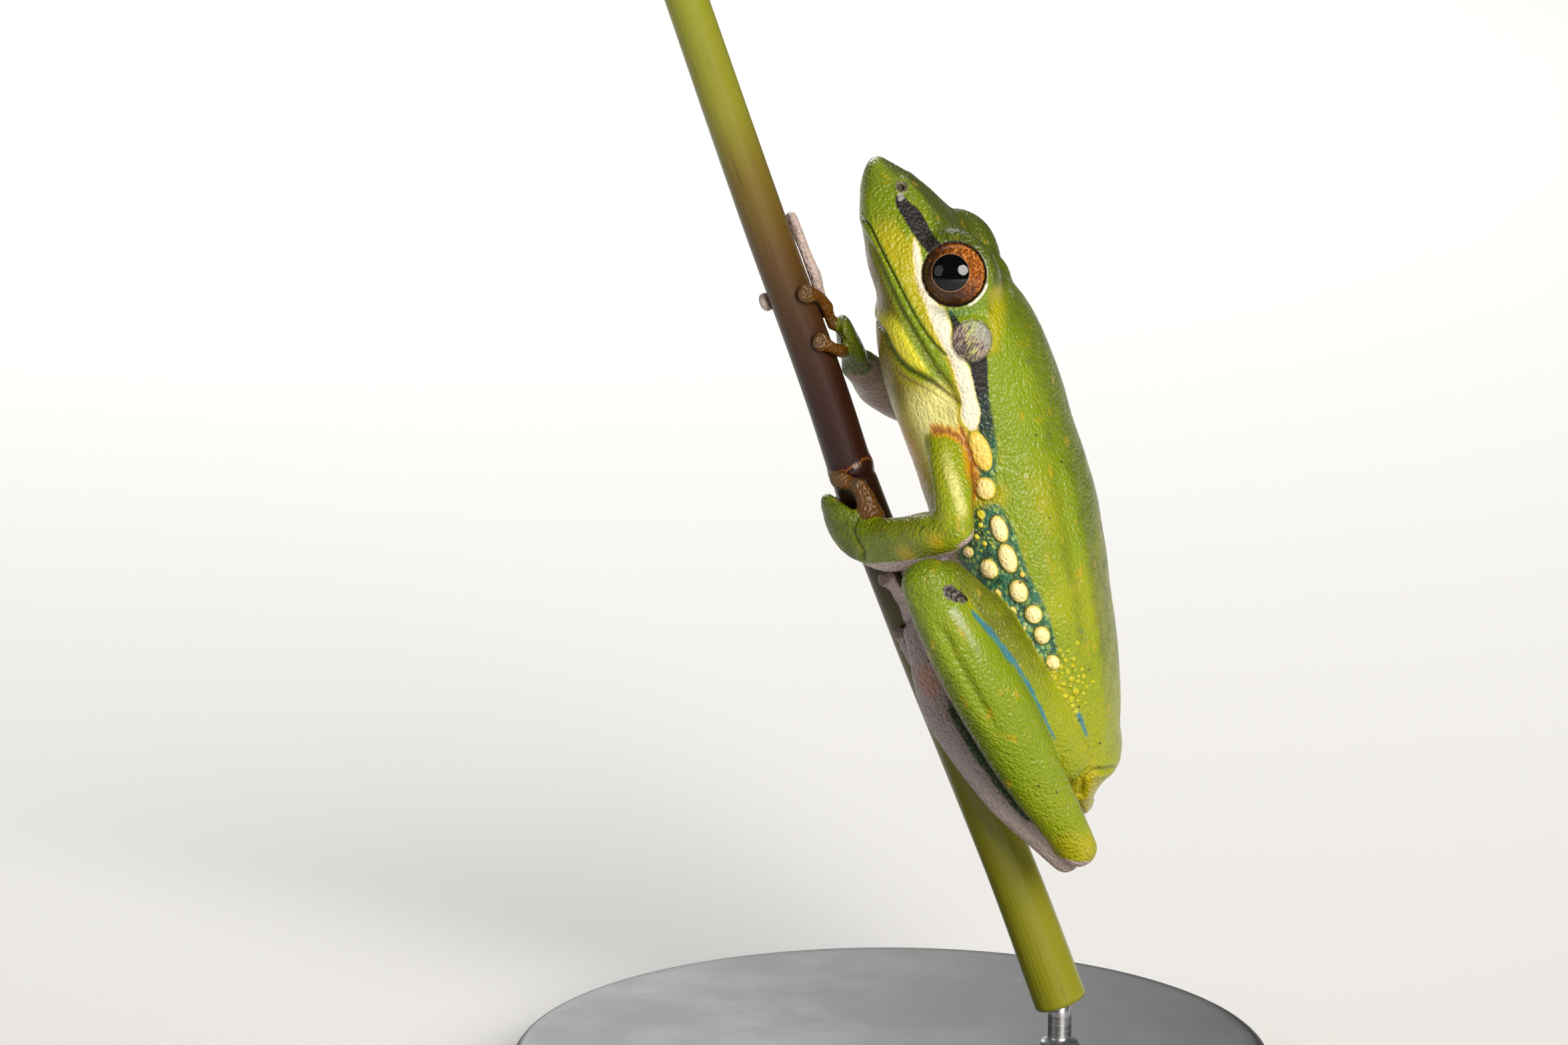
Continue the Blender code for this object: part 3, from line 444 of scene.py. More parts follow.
CANTHUS = (  # the ridge from the nostril to the eye
    (1.5, 5.62, 0.85, 0.5, 0.42), (2.7, 6.05, 1.35, 0.62, 0.55), (3.9, 6.42, 1.75, 0.78, 0.72),
    (5.2, 6.85, 2.05, 0.9, 0.85),
)
for side in SIDES:
    add_limb("trunk", turned_round(CANTHUS, side))
for side, upper, fore, hand, fingers in ((1, UPPER_ARM_LEFT, FOREARM_LEFT, HAND_LEFT, FINGERS_LEFT),
                                         (-1, UPPER_ARM_RIGHT, FOREARM_RIGHT, HAND_RIGHT, FINGERS_RIGHT)):
    add_limb("upper_arm", turned_round(upper, side))
    add_limb("forearm", turned_round(fore, side))
    add_limb("hand", turned_round(hand, side), None)
    for places in fingers:
        add_limb("finger", digit_rows(places, side, FINGER_RADIUS), None, 20, 0.06)
add_limb("finger", THUMB_ROOT, None, 24, 0.08)
for side, toes, (hip, knee, heel) in ((1, TOES_LEFT, (0.0, 0.0, 0.0)), (-1, TOES_RIGHT, RIGHT_LEG_BACK)):
    add_limb("thigh", turned_round(THIGH, side, (hip, knee)))
    add_limb("shank", turned_round(SHANK, side, (knee, heel)))
    add_limb("tarsus", turned_round(TARSUS, side, (heel, hip)))
    add_limb("foot", turned_round(FOOT, side, (hip, hip)), None)
    for places in toes:
        add_limb("toe", digit_rows(places, side, TOE_RADIUS), None, 20, 0.06)
print(len(flesh), "forms of flesh,", sum(len(f[1]) for f in flesh), "points")

# %% [markdown]
# ## One skin
# The overlapping forms become one closed surface. A Boolean union would keep sharp seams and long thin
# faces. A voxel remesh gives one even net over the outside of them all, and evening out that net near the
# seams draws the soft webs of skin that join limb to body. The net stays in the frog's own frame until its
# markings are on it, so that every size below can be read in millimetres along the animal.

# %% A net over all the forms
VOXEL = 0.10


def mesh_from(name, points, faces):
    mesh = bpy.data.meshes.new(name)
    mesh.from_pydata(np.asarray(points, float).tolist(), [], faces)
    return mesh


def baked(obj):
    """The mesh that an object's modifiers make; the object itself is removed."""
    graph = bpy.context.evaluated_depsgraph_get()
    made = bpy.data.meshes.new_from_object(obj.evaluated_get(graph), depsgraph=graph)
    bpy.data.objects.remove(obj)
    return made


all_points, all_faces = [], []
start = 0
for _, points, faces, _, _ in flesh:
    all_points.append(points)
    all_faces.extend([[v + start for v in face] for face in faces])
    start += len(points)
all_points = np.vstack(all_points)
rough_skin = object_from("rough_skin", mesh_from("rough_skin", all_points, all_faces))
remesh = rough_skin.modifiers.new("net", "REMESH")
remesh.mode = "VOXEL"
remesh.voxel_size = VOXEL
net = baked(rough_skin)
print("the net has", len(net.vertices), "points")


# %% Reading and evening a net
def read_points(mesh):
    flat = np.empty(len(mesh.vertices) * 3, np.float32)
    mesh.vertices.foreach_get("co", flat)
    return flat.reshape(-1, 3).astype(float)


def read_edges(mesh):
    flat = np.empty(len(mesh.edges) * 2, np.int32)
    mesh.edges.foreach_get("vertices", flat)
    return flat.reshape(-1, 2)


def neighbour_mean(values, edges, degree):
    """For each point, the mean of a value over the points it is joined to."""
    a, b = edges[:, 0], edges[:, 1]
    values = values.reshape(len(values), -1)
    total = np.stack([np.bincount(a, values[b, k], len(values)) + np.bincount(b, values[a, k], len(values))
                      for k in range(values.shape[1])], -1)
    return total / degree[:, None]


def even_out(values, edges, degree, weight, rounds):
    """Draw each value towards the mean of its neighbours by the share weight, round after round."""
    shape = values.shape
    values = values.reshape(len(values), -1)
    for _ in range(rounds):
        values = values + (neighbour_mean(values, edges, degree) - values) * weight[:, None]
    return values.reshape(shape)


# %% Which form each point came from
KINDS = ["trunk", "upper_arm", "forearm", "hand", "finger", "thigh", "shank", "tarsus", "foot", "toe"]
form_kind = np.concatenate([np.full(len(f[1]), KINDS.index(f[0])) for f in flesh])
form_number = np.concatenate([np.full(len(f[1]), k) for k, f in enumerate(flesh)])
form_share = np.concatenate([f[3] for f in flesh])
form_side = np.concatenate([f[4] for f in flesh])
tree = kdtree.KDTree(len(all_points))
for k, point in enumerate(all_points):
    tree.insert(point, k)
tree.balance()


def nearest_form_point(points):
    return np.array([tree.find(p)[1] for p in points])


co = read_points(net)
edges = read_edges(net)
degree = np.maximum(np.bincount(edges.ravel(), minlength=len(co)), 1)
near = nearest_form_point(co)
number = form_number[near]
kind = form_kind[near]
print("each of", len(co), "points knows its form")

# %% Soft webs where forms meet
seam = np.zeros(len(co))
meets = (number[edges[:, 0]] != number[edges[:, 1]])
seam[edges[meets].ravel()] = 1.0
seam = np.clip(even_out(seam, edges, degree, np.full(len(co), 0.5), 14) * 3.0, 0, 1)
digits = np.isin(kind, (KINDS.index("finger"), KINDS.index("toe")))
co = even_out(co, edges, degree, np.where(digits, 0.12, 0.5), 6)
co = even_out(co, edges, degree, np.where(digits, 0.15, 0.5) * seam, 16)
net.vertices.foreach_set("co", co.astype(np.float32).ravel())
print("evened", int((seam > 0.2).sum()), "points near the seams")

# %% A finer net
fine = object_from("fine_skin", net)
split = fine.modifiers.new("split", "SUBSURF")
split.levels = split.render_levels = 1
skin_mesh = baked(fine)
co = read_points(skin_mesh)
edges = read_edges(skin_mesh)
degree = np.maximum(np.bincount(edges.ravel(), minlength=len(co)), 1)
near = nearest_form_point(co)
kind, share, outside = form_kind[near], form_share[near], form_side[near]
print("the fine net has", len(co), "points")


def skin_normals():
    """The direction straight out of the skin at each point."""
    skin_mesh.vertices.foreach_set("co", co.astype(np.float32).ravel())
    skin_mesh.update()
    flat = np.empty(len(co) * 3, np.float32)
    skin_mesh.vertices.foreach_get("normal", flat)
    return flat.reshape(-1, 3).astype(float)


# %% [markdown]
# ## Shaping by small pushes
# The finest forms, such as lips, lids and glands, are pushes of the skin along its own normal. Each push is
# a smooth hill or groove, measured by the distance to a point or a bent line in the side view. That keeps
# every form a named size, and both sides of the animal are shaped by the same lines.

# %% Hills and slopes
def hill(distance, width):
    """1 at a distance of 0, sinking smoothly to almost 0 at twice the width."""
    return np.exp(-(distance / width) ** 2)


def ease(value, low, high):
    """0 below low, 1 above high, and smooth between them."""
    t = np.clip((value - low) / (high - low), 0, 1)
    return t * t * (3 - 2 * t)


def fade(value, low, high):
    """1 below low, 0 above high, and smooth between them."""
    return 1 - ease(value, low, high)


def between(value, start, full, fading, gone):
    """0 before start, 1 from full to fading, and 0 again once gone."""
    return ease(value, start, full) * fade(value, fading, gone)


# %% Distances in the side view
def line_distance(points, line):
    """The distance to a bent line, the same signed so that it is positive on the back's side, and the share
    along the line."""
    line = np.asarray(line, float)
    best = np.full(len(points), 1e9)
    sign = np.zeros(len(points))
    share = np.zeros(len(points))
    lengths = np.linalg.norm(np.diff(line, axis=0), axis=1)
    starts = np.concatenate(([0.0], np.cumsum(lengths)))
    for k, (a, b) in enumerate(zip(line[:-1], line[1:])):
        ab = b - a
        t = np.clip(((points - a) @ ab) / ab.dot(ab), 0, 1)
        gap = points - (a + t[:, None] * ab)
        d = np.linalg.norm(gap, axis=1)
        closer = d < best
        best[closer] = d[closer]
        sign[closer] = np.sign(ab[0] * gap[closer, 1] - ab[1] * gap[closer, 0])
        share[closer] = (starts[k] + t[closer] * lengths[k]) / starts[-1]
    return best, best * np.where(sign == 0, 1, sign), share


def inside_outline(points, outline):
    """How far inside a closed outline of the side view each point is, negative outside."""
    outline = np.asarray(outline, float)
    closed = np.vstack((outline, outline[:1]))
    gap, _, _ = line_distance(points, closed)
    crossings = np.zeros(len(points), int)
    for (ax, ay), (bx, by) in zip(closed[:-1], closed[1:]):
        if ay == by:
            continue
        spans = (points[:, 1] < ay) != (points[:, 1] < by)
        crossings += spans & (points[:, 0] < ax + (points[:, 1] - ay) * (bx - ax) / (by - ay))
    return np.where(crossings % 2 == 1, gap, -gap)


def band(points, lower, upper):
    """How far inside the band between two lines each point is. Both lines run from the snout backwards."""
    rims = []
    for line in (lower, upper):
        at = np.linspace(line[0][0], line[-1][0], 60)
        rims.append(np.column_stack((at, smooth_through(line, at))))
    return inside_outline(points, np.vstack((rims[0], rims[1][::-1])))


def oval(points, centre, radii):
    """The distance from a centre, measured in two radii, so that the rim of that oval is at 1."""
    return np.hypot((points[:, 0] - centre[0]) / radii[0], (points[:, 1] - centre[1]) / radii[1])


def gap_to(points, targets):
    """The distance from each point to the nearest of the targets."""
    best = np.full(len(points), 1e9)
    for part in np.array_split(targets, max(1, len(targets) // 40)):
        best = np.minimum(best, np.linalg.norm(points[:, None] - part[None], axis=2).min(1))
    return best


# %% Numbers for one part of the skin
def on_part(where, values, elsewhere=0.0):
    """A number for every point of the skin: the values on one part, and elsewhere the same number."""
    made = np.full(len(co), elsewhere)
    made[where] = values
    return made


def lift(mask, where, values):
    """Raise a mask on one part to values that are given for that part or for the whole skin."""
    mask[where] = np.maximum(mask[where], values[where] if len(values) == len(mask) else values)


def count_over(mask, level=0.5):
    """How many points of the skin a mask covers."""
    return int((mask > level).sum())


side_view = co[:, :2].copy()
height_out = np.abs(co[:, 2])
far_side = co[:, 2] < 0
on_kinds = [kind == k for k in range(len(KINDS))]
trunk, upper_arm, forearm, hand, finger, thigh, shank, tarsus, foot, toe = on_kinds
print("points on the trunk:", count_over(trunk))

# %% [markdown]
# ## The head
# The mouth is a fine dark line, with a soft roll on the lower lip and a slighter one on the upper lip. Under
# the lip runs the fold of the jaw, and below that the loose skin of the throat bulges to a crease. They could
# be cut into the net by hand, but as lines with a width and a depth they stay easy to move and to measure.

# %% Mouth, lips and throat
MOUTH = ((1.9, 3.1), (2.0, 3.5), (2.12, 3.72), (2.35, 3.88), (3.2, 4.0), (3.9, 4.12), (4.6, 4.24),
         (5.26, 4.34), (6.0, 4.46), (6.53, 4.58), (7.07, 4.73), (7.5, 4.88), (7.85, 5.04), (8.15, 5.2))
JAW_FOLD = ((2.4, 3.62), (2.96, 3.68), (3.57, 3.75), (4.52, 3.85), (5.49, 3.95), (6.21, 4.1), (6.96, 4.26),
            (7.86, 4.45), (8.64, 4.64), (9.27, 4.86), (10.1, 5.0))
THROAT_CREASE = ((6.4, 2.8), (6.6, 2.95), (7.18, 3.03), (7.73, 3.19), (8.19, 3.45), (8.57, 3.84),
                 (8.98, 4.25), (9.55, 4.62), (10.05, 4.9))
CHEST_CREASE = ((8.3, 3.0), (8.75, 3.45), (9.2, 3.95), (9.75, 4.4), (10.25, 4.75))
head = np.where(trunk & (co[:, 0] < 11.0))[0]
normals = skin_normals()
view = side_view[head]
mouth_gap, over_mouth, mouth_share = line_distance(view, MOUTH)
fold_gap, over_fold, fold_share = line_distance(view, JAW_FOLD)
crease_gap, over_crease, _ = line_distance(view, THROAT_CREASE)
chest_gap, _, _ = line_distance(view, CHEST_CREASE)
sac = np.minimum(-over_fold, over_crease)
lip = between(mouth_share, 0.0, 0.12, 0.88, 1.0)
mouth_end = fade(mouth_share, 0.97, 1.0)
fold_start = ease(fold_share, 0.0, 0.15)
push = np.zeros(len(co))
push[head] -= 0.13 * hill(mouth_gap, 0.055) * mouth_end
push[head] += (0.035 * hill(over_mouth + 0.19, 0.12) + 0.025 * hill(over_mouth - 0.13, 0.09)) * lip
push[head] -= 0.12 * hill(fold_gap, 0.13) * fold_start * (1 - 0.5 * ease(fold_share, 0.9, 1.0))
push[head] += 0.16 * ease(sac, 0.05, 0.45) * ease(view[:, 0], 5.6, 6.6)
push[head] -= 0.17 * hill(crease_gap, 0.1) + 0.05 * hill(chest_gap, 0.08)
co += normals * push[:, None]
mouth_mask = on_part(head, hill(mouth_gap, 0.045) * mouth_end)
# Painted shade in the folds: the jaw fold, the throat and chest creases, and a patch where they end by the
# arm.
fold_shade_mask = on_part(head, 0.8 * hill(fold_gap, 0.16) * fold_start)
fold_end_shade = hill(oval(view, (10.3, 4.55), (0.5, 0.28)), 1.0)
for fold_shade in (0.7 * hill(crease_gap, 0.12), 0.35 * hill(chest_gap, 0.08), 0.7 * fold_end_shade):
    lift(fold_shade_mask, head, fold_shade)
print("mouth shaped over", count_over(mouth_mask, 0.1), "points")

# %% [markdown]
# ## Nostrils and ear drums
# Each nostril is a small pit with a raised rim near the snout's tip. The ear drum is a round thin skin just
# behind the eye, held in a faint ring, with a short ridge over it.

# %% Nostrils and ear drums
NOSTRIL = (1.40, 5.60)
EAR = (7.88, 6.32)
EAR_RADII = (0.82, 0.80)
EAR_RIDGE = ((6.9, 7.25), (7.5, 7.42), (8.2, 7.3), (8.7, 6.95))
LEAN_COS, LEAN_SIN = 0.937, 0.349  # from the reed's directions to those of the picture
normals = skin_normals()
push = np.zeros(len(co))
nostril_near = np.zeros(len(co))
ear_inside = np.full(len(co), -1.0)
ear_across = ((co[:, 1] - EAR[1]) * LEAN_COS + (co[:, 0] - EAR[0]) * LEAN_SIN) / EAR_RADII[1]
for side in SIDES:
    mine = head[(co[head, 2] * side) > 0.3]
    middle = co[mine[np.argmin(oval(co[mine], NOSTRIL, (1, 1)))]]
    gap = np.linalg.norm(co[mine] - middle, axis=1)
    push[mine] += 0.05 * hill(gap - 0.24, 0.08) - 0.24 * hill(gap, 0.12)
    lift(nostril_near, mine, 0.5 - gap)
    ring = np.where(height_out[mine] > 3.0, oval(co[mine], EAR, EAR_RADII), 3.0)
    push[mine] += 0.05 * hill(ring - 1.04, 0.1) - 0.035 * fade(ring, 0.8, 1.0) + 0.03 * hill(ring, 0.35)
    lift(ear_inside, mine, 1 - ring)
ridge_gap, _, _ = line_distance(side_view[head], EAR_RIDGE)
push[head] += 0.05 * hill(ridge_gap, 0.13)
co += normals * push[:, None]
print("nostrils", count_over(nostril_near, 0.3), "points, ear drums", count_over(ear_inside, 0))

# %% [markdown]
# ## Lids
# The skin round the eye is drawn as a height along the way the eye looks, from the middle of the ball. Inside
# the opening it drops below the ball's surface, at the edge it rolls into a thin lid that just overlaps the
# ball, and outside it runs out into the brow. A cut hole would leave a sharp sheet there, while this gives a
# lid of real thickness.

# %% The lids
EYE_AT = np.array((5.36, 6.51, 2.48))
EYE_AIM = np.array((-0.25, 0.04, 1.0))
EYE_RADIUS = 1.45
EYE_SHOWS = 1.28
lid_angle = np.zeros(len(co))
lid_round = np.full(len(co), 9.0)
LID_EDGE = math.sqrt(EYE_RADIUS**2 - EYE_SHOWS**2)
for side in SIDES:
    centre = EYE_AT * (1, 1, side)
    aim = unit(EYE_AIM * (1, 1, side))
    back_along = unit(np.array((1.0, 0, 0)) - aim * aim[0])
    upward = np.cross(aim, back_along) * side
    offset = co - centre
    mine = np.where((np.linalg.norm(offset, axis=1) < 2.6) & (offset @ aim > 0.0))[0]
    out = offset[mine] @ aim
    across, up = offset[mine] @ back_along, offset[mine] @ upward
    radial = np.hypot(across, up)
    beyond = radial - EYE_SHOWS
    lid = LID_EDGE + 0.02 + 0.05 * hill(beyond - 0.1, 0.09) - 0.3 * np.clip(beyond - 0.15, 0, 1) ** 2
    ball = np.sqrt(np.maximum(EYE_RADIUS**2 - radial**2, 0.0))
    wanted = np.where(beyond < 0, np.minimum(ball - 0.24, 0.42), lid)
    weight = fade(beyond, 0.12, 0.7)
    new_out = out * (1 - weight) + wanted * weight
    snapped = np.where(np.abs(beyond) < 0.03, EYE_SHOWS + 0.004, radial)
    scale = snapped / np.maximum(radial, 1e-6)
    co[mine] = (centre + np.outer(new_out, aim) + np.outer(across * scale, back_along)
                + np.outer(up * scale, upward))
    lid_angle[mine] = np.degrees(np.arctan2(up, across))
    lid_round[mine] = beyond
print("lids shaped over", int((lid_round < 0.5).sum()), "points")

# %% [markdown]
# ## Glands on the flank
# Below the back's edge runs a chain of raised pale glands, the largest like blisters, with a patch of small
# granules in the groin. A chain placed by chance wouldn't be this animal's, so each large one has its place
# and two radii, and only the small granules are scattered. The far side has the same chain a little shifted.

# %% The glands' places
GLANDS = (  # behind the snout, height, radius along, radius across, how high, and from cream to orange
    (12.25, 5.16, 0.90, 0.46, 0.26, 0.75), (13.75, 4.83, 0.50, 0.46, 0.24, 0.35),
    (14.71, 4.29, 0.21, 0.20, 0.12, 0.9), (15.13, 4.12, 0.13, 0.13, 0.08, 1.0),
    (15.55, 3.80, 0.14, 0.13, 0.08, 1.0), (15.89, 4.03, 0.13, 0.11, 0.07, 1.0),
    (15.48, 4.82, 0.60, 0.38, 0.27, 0.0), (16.74, 4.74, 0.66, 0.41, 0.28, 0.0),
    (16.95, 3.87, 0.46, 0.40, 0.24, 0.0), (16.10, 3.26, 0.26, 0.24, 0.14, 0.1),
    (18.17, 4.70, 0.52, 0.41, 0.27, 0.05), (19.30, 4.93, 0.43, 0.40, 0.26, 0.05),
    (20.26, 4.95, 0.42, 0.37, 0.25, 0.1), (21.54, 4.98, 0.36, 0.31, 0.2, 0.1),
    (17.57, 5.06, 0.14, 0.13, 0.07, 0.8), (18.02, 3.84, 0.18, 0.16, 0.09, 0.8),
    (18.91, 4.15, 0.21, 0.19, 0.11, 0.6), (19.75, 4.35, 0.12, 0.11, 0.06, 0.6),
    (21.2, 4.55, 0.17, 0.14, 0.08, 0.3),
)
random = np.random.default_rng(7)
scattered = [(23.15, 5.4, 0.19, 0.17, 0.1)]
for _ in range(600):  # in the groin
    spot = np.array((22.55, 5.34)) + random.normal(size=2) * (0.52, 0.30)
    wide = random.uniform(0.07, 0.16)
    scattered.append((*spot, wide * 1.1, wide, random.uniform(0.05, 0.09)))
for _ in range(60):  # behind the arm
    spot = random.uniform(14.6, 16.2), random.uniform(3.6, 4.4)
    wide = random.uniform(0.04, 0.08)
    scattered.append((*spot, wide, wide, 0.03))
granules = []
for g in scattered:
    if all(math.hypot(g[0] - k[0], g[1] - k[1]) > g[2] + k[2] + 0.015 for k in granules):
        granules.append(g)
print(len(granules), "of", len(scattered), "scattered granules stand clear of each other")

# %% The glands' forms
FAR_SHIFT = 0.45
normals = skin_normals()
push = np.zeros(len(co))
gland_mask = np.full(len(co), -1.0)
gland_warm = np.zeros(len(co))
granule_mask = np.full(len(co), -1.0)
flank = np.where(trunk & (co[:, 0] > 11.0) & (co[:, 0] < 25.5) & (height_out > 2.5))[0]
shift = np.where(far_side[flank], FAR_SHIFT, 0.0)
chain_view = np.column_stack((co[flank, 0] - shift, co[flank, 1] + shift * 0.15))
patch_view = np.column_stack((co[flank, 0] + shift, co[flank, 1]))
for behind, up, along, across, high, warm in GLANDS:
    r = oval(chain_view, (behind, up), (along, 0.93 * across))
    dome = np.where(r < 1, high * np.sqrt(np.clip(1 - r**2, 0, 1)) ** 1.2, 0)
    push[flank] += dome - 0.03 * hill(r - 1.12, 0.12)
    closer = 1 - r > gland_mask[flank]
    gland_mask[flank[closer]] = (1 - r)[closer]
    gland_warm[flank[closer]] = warm
for behind, up, along, across, high in granules:
    r = oval(patch_view, (behind, up), (along, across))
    push[flank] += np.where(r < 1, high * np.clip(1 - r**2, 0, 1), 0)
    lift(granule_mask, flank, 1 - r)
print(len(GLANDS), "glands and", len(granules), "granules on each side")

# %% [markdown]
# ## Stripe, muscles and folds
# The white stripe is a row of soft glands and stands a little proud. The back has a soft edge, the shank a
# groove between its muscles, and the skin folds at vent and wrist. A picture could displace the skin, but it
# would have to be unwrapped first. So these are hills and grooves along lines as well, and a few crossing
# waves from a fixed seed add the shallow swellings that no two animals share.

# %% The white stripe stands a little proud, in soft beads
STRIPE_LOW = ((3.3, 5.42), (3.7, 5.25), (4.29, 5.08), (4.94, 4.97), (5.62, 4.98), (6.32, 5.0), (7.1, 5.03),
              (7.8, 5.13), (8.4, 5.2), (8.84, 5.19), (9.41, 5.13), (10.0, 5.1), (10.83, 4.83), (11.4, 5.0))
STRIPE_HIGH = ((3.3, 5.52), (3.7, 5.6), (4.16, 5.54), (4.8, 5.36), (5.35, 5.33), (6.02, 5.56), (6.54, 5.77),
               (7.09, 5.76), (7.6, 5.6), (8.31, 5.77), (8.76, 5.9), (9.44, 5.85), (10.12, 5.76),
               (10.79, 5.69), (11.4, 5.35))
reach = np.where(trunk & (co[:, 0] > 2.8) & (co[:, 0] < 11.9) & (height_out > 1.2))[0]
inside = band(co[reach, :2], STRIPE_LOW, STRIPE_HIGH)
stripe_inside = on_part(reach, inside, -1.0)
middle = [((a[0] + b[0]) / 2, (a[1] + b[1]) / 2) for a, b in zip(STRIPE_LOW, STRIPE_HIGH)]
_, from_middle, _ = line_distance(co[reach, :2], middle)
mouth_side = on_part(reach, fade(from_middle, -0.05, 0.1))
beads = 0.6 + 0.4 * np.cos(co[reach, 0] * 2 * math.pi / 1.05)
push[reach] += 0.09 * ease(inside, -0.02, 0.25) * np.where(co[reach, 0] > 8.2, beads, 0.7)
print("stripe over", count_over(stripe_inside, 0), "points")

# %% The back's edge, the muscles of the leg and the folds at vent and wrist
BACK_EDGE = ((12.5, 8.3), (14.36, 8.1), (17.09, 7.72), (19.88, 7.2), (22.64, 6.52), (24.92, 5.88),
             (26.9, 5.15))
VENT_FOLD = ((27.35, 5.5), (26.95, 4.9), (27.1, 4.4), (27.8, 4.0))
CALF = ((17.4, 1.35), (19.2, 1.5), (21.2, 1.75), (23.6, 2.1))
WRIST_CREASE = ((13.6, -0.3), (13.66, -0.68), (14.07, -1.09), (14.5, -1.04), (14.96, -0.91), (15.3, -1.05))
_, over_edge, edge_share = line_distance(side_view[trunk], BACK_EDGE)
edge_form = 0.07 * hill(over_edge - 0.12, 0.3) - 0.09 * hill(over_edge + 0.35, 0.35)
push[trunk] += edge_form * between(edge_share, 0.0, 0.3, 0.9, 1.0)
vent_gap, _, _ = line_distance(side_view[trunk], VENT_FOLD)
vent_form = 0.07 * hill(vent_gap - 0.28, 0.2) - 0.11 * hill(vent_gap, 0.13)
push[trunk] += vent_form * ease(co[trunk, 0], 26.0, 26.8)
calf_gap, _, calf_share = line_distance(side_view[shank], CALF)
push[shank] -= 0.15 * hill(calf_gap, 0.22) * between(calf_share, 0.0, 0.2, 0.7, 1.0)
near_wrist = (forearm | hand) & ~far_side
wrist_gap, _, _ = line_distance(side_view[near_wrist], WRIST_CREASE)
wrist_mask = on_part(near_wrist, hill(wrist_gap, 0.07))
push -= 0.09 * wrist_mask
co += normals * push[:, None]
print("largest push", round(float(np.abs(push).max()), 3), "mm")

# %% Shallow wrinkles and swellings
def soft_bumps(points, size, seed):
    """A smooth random value from -1 to 1 at each point, made of a few crossing waves."""
    made = np.random.default_rng(seed)
    total = np.zeros(len(points))
    for _ in range(14):
        wave = points @ unit(made.normal(size=3)) * (2 * math.pi / (size * made.uniform(0.7, 1.4)))
        total += np.sin(wave + made.uniform(0, 6.28))
    return total / 5.0


normals = skin_normals()
calm = np.where(finger | toe, 0.25, 1.0) * ease(lid_round, 0.1, 0.8)
co += normals * (calm * (0.014 * soft_bumps(co, 1.5, 3) + 0.004 * soft_bumps(co, 0.5, 5)))[:, None]
print("skin reaches", co.min(0).round(2), co.max(0).round(2))

# %% [markdown]
# ## Where the markings lie
# Markings could be painted on a picture, but a picture fits only one view. Here each marking is a number at
# every point of the skin: how far inside it the point is, or how strongly it is tinted. The finish then
# turns these numbers into colour and breaks their edges with fine noise, as pigment cells do.

# %% The black stripe through the eye
CHEEK_LOW = ((1.62, 5.26), (1.81, 5.2), (2.56, 5.33), (3.2, 5.5), (3.74, 5.68), (4.1, 5.85), (4.4, 6.0))
CHEEK_HIGH = ((1.62, 5.5), (1.8, 5.62), (2.03, 5.75), (2.36, 5.98), (2.95, 6.15), (3.52, 6.28), (3.9, 6.5),
              (4.4, 6.8))
NAPE_LOW = ((6.45, 5.80), (7.0, 5.80), (7.6, 5.66), (8.31, 5.80), (8.76, 5.92), (9.44, 5.87), (10.12, 5.78),
            (10.79, 5.7), (11.4, 5.55), (12.1, 5.55))
NAPE_HIGH = ((6.45, 5.95), (7.0, 6.15), (7.6, 6.45), (8.31, 6.62), (8.76, 6.68), (9.3, 6.52), (9.85, 6.34),
             (10.49, 6.2), (11.3, 6.05), (12.1, 5.75))
view = co[head, :2]
behind, up = view.T
cheek = np.where(lid_round[head] < -0.2, -1.0, band(view, CHEEK_LOW, CHEEK_HIGH))
nape = np.minimum(band(view, NAPE_LOW, NAPE_HIGH), 0.25 - 0.42 * ease(behind, 9.0, 10.9))
black_inside = on_part(head, np.where(height_out[head] > 1.0, np.maximum(cheek, nape), -1.0), -1.0)
print("black over", count_over(black_inside, 0), "points")

# %% The teal ground of the flank, and the blue lines
FLANK_LOW = ((8.9, 5.8), (10.2, 5.55), (11.4, 5.12), (12.2, 4.7), (13.4, 4.1), (14.6, 3.4), (16.2, 2.7),
             (18.5, 3.2), (20.5, 3.7), (22.3, 4.4))
FLANK_HIGH = ((8.9, 6.6), (9.85, 6.34), (11.26, 6.08), (12.4, 5.84), (13.4, 5.42), (14.5, 5.22),
              (15.76, 5.36), (16.8, 5.34), (17.7, 5.34), (18.7, 5.47), (19.6, 5.5), (20.4, 5.42),
              (21.2, 5.36), (22.3, 5.1))
GROIN_LINE = ((23.7, 5.08), (24.3, 5.16), (24.9, 5.16), (25.7, 5.1))
THIGH_LINE = ((17.5, 2.64), (18.4, 2.90), (19.28, 3.2), (20.17, 3.43), (20.96, 3.62), (21.94, 3.79),
              (22.95, 3.88), (24.1, 3.92), (25.1, 3.98))
x, y = co[:, 0], co[:, 1]
body = np.where(trunk & (height_out > 2.0))[0]
teal_mask = on_part(body, ease(band(co[body, :2], FLANK_LOW, FLANK_HIGH), -0.2, 0.3))
teal_mask *= fade(x, 20.8, 22.4) * (1 - 0.8 * hill(x - 14.15, 0.5))
groin_gap, _, groin_share = line_distance(co[body, :2], GROIN_LINE)
blue_mask = on_part(body, hill(groin_gap, 0.13) * between(groin_share, 0.0, 0.3, 0.7, 1.0))
leg = thigh | shank
blue_gap, _, blue_share = line_distance(co[leg, :2], THIGH_LINE)
blue_wide = 0.07 + 0.075 * hill(blue_share - 0.36, 0.22)
blue_mask[leg] = hill(blue_gap, blue_wide) * between(blue_share, 0.0, 0.1, 0.85, 1.0)
print("teal over", count_over(teal_mask), "points")
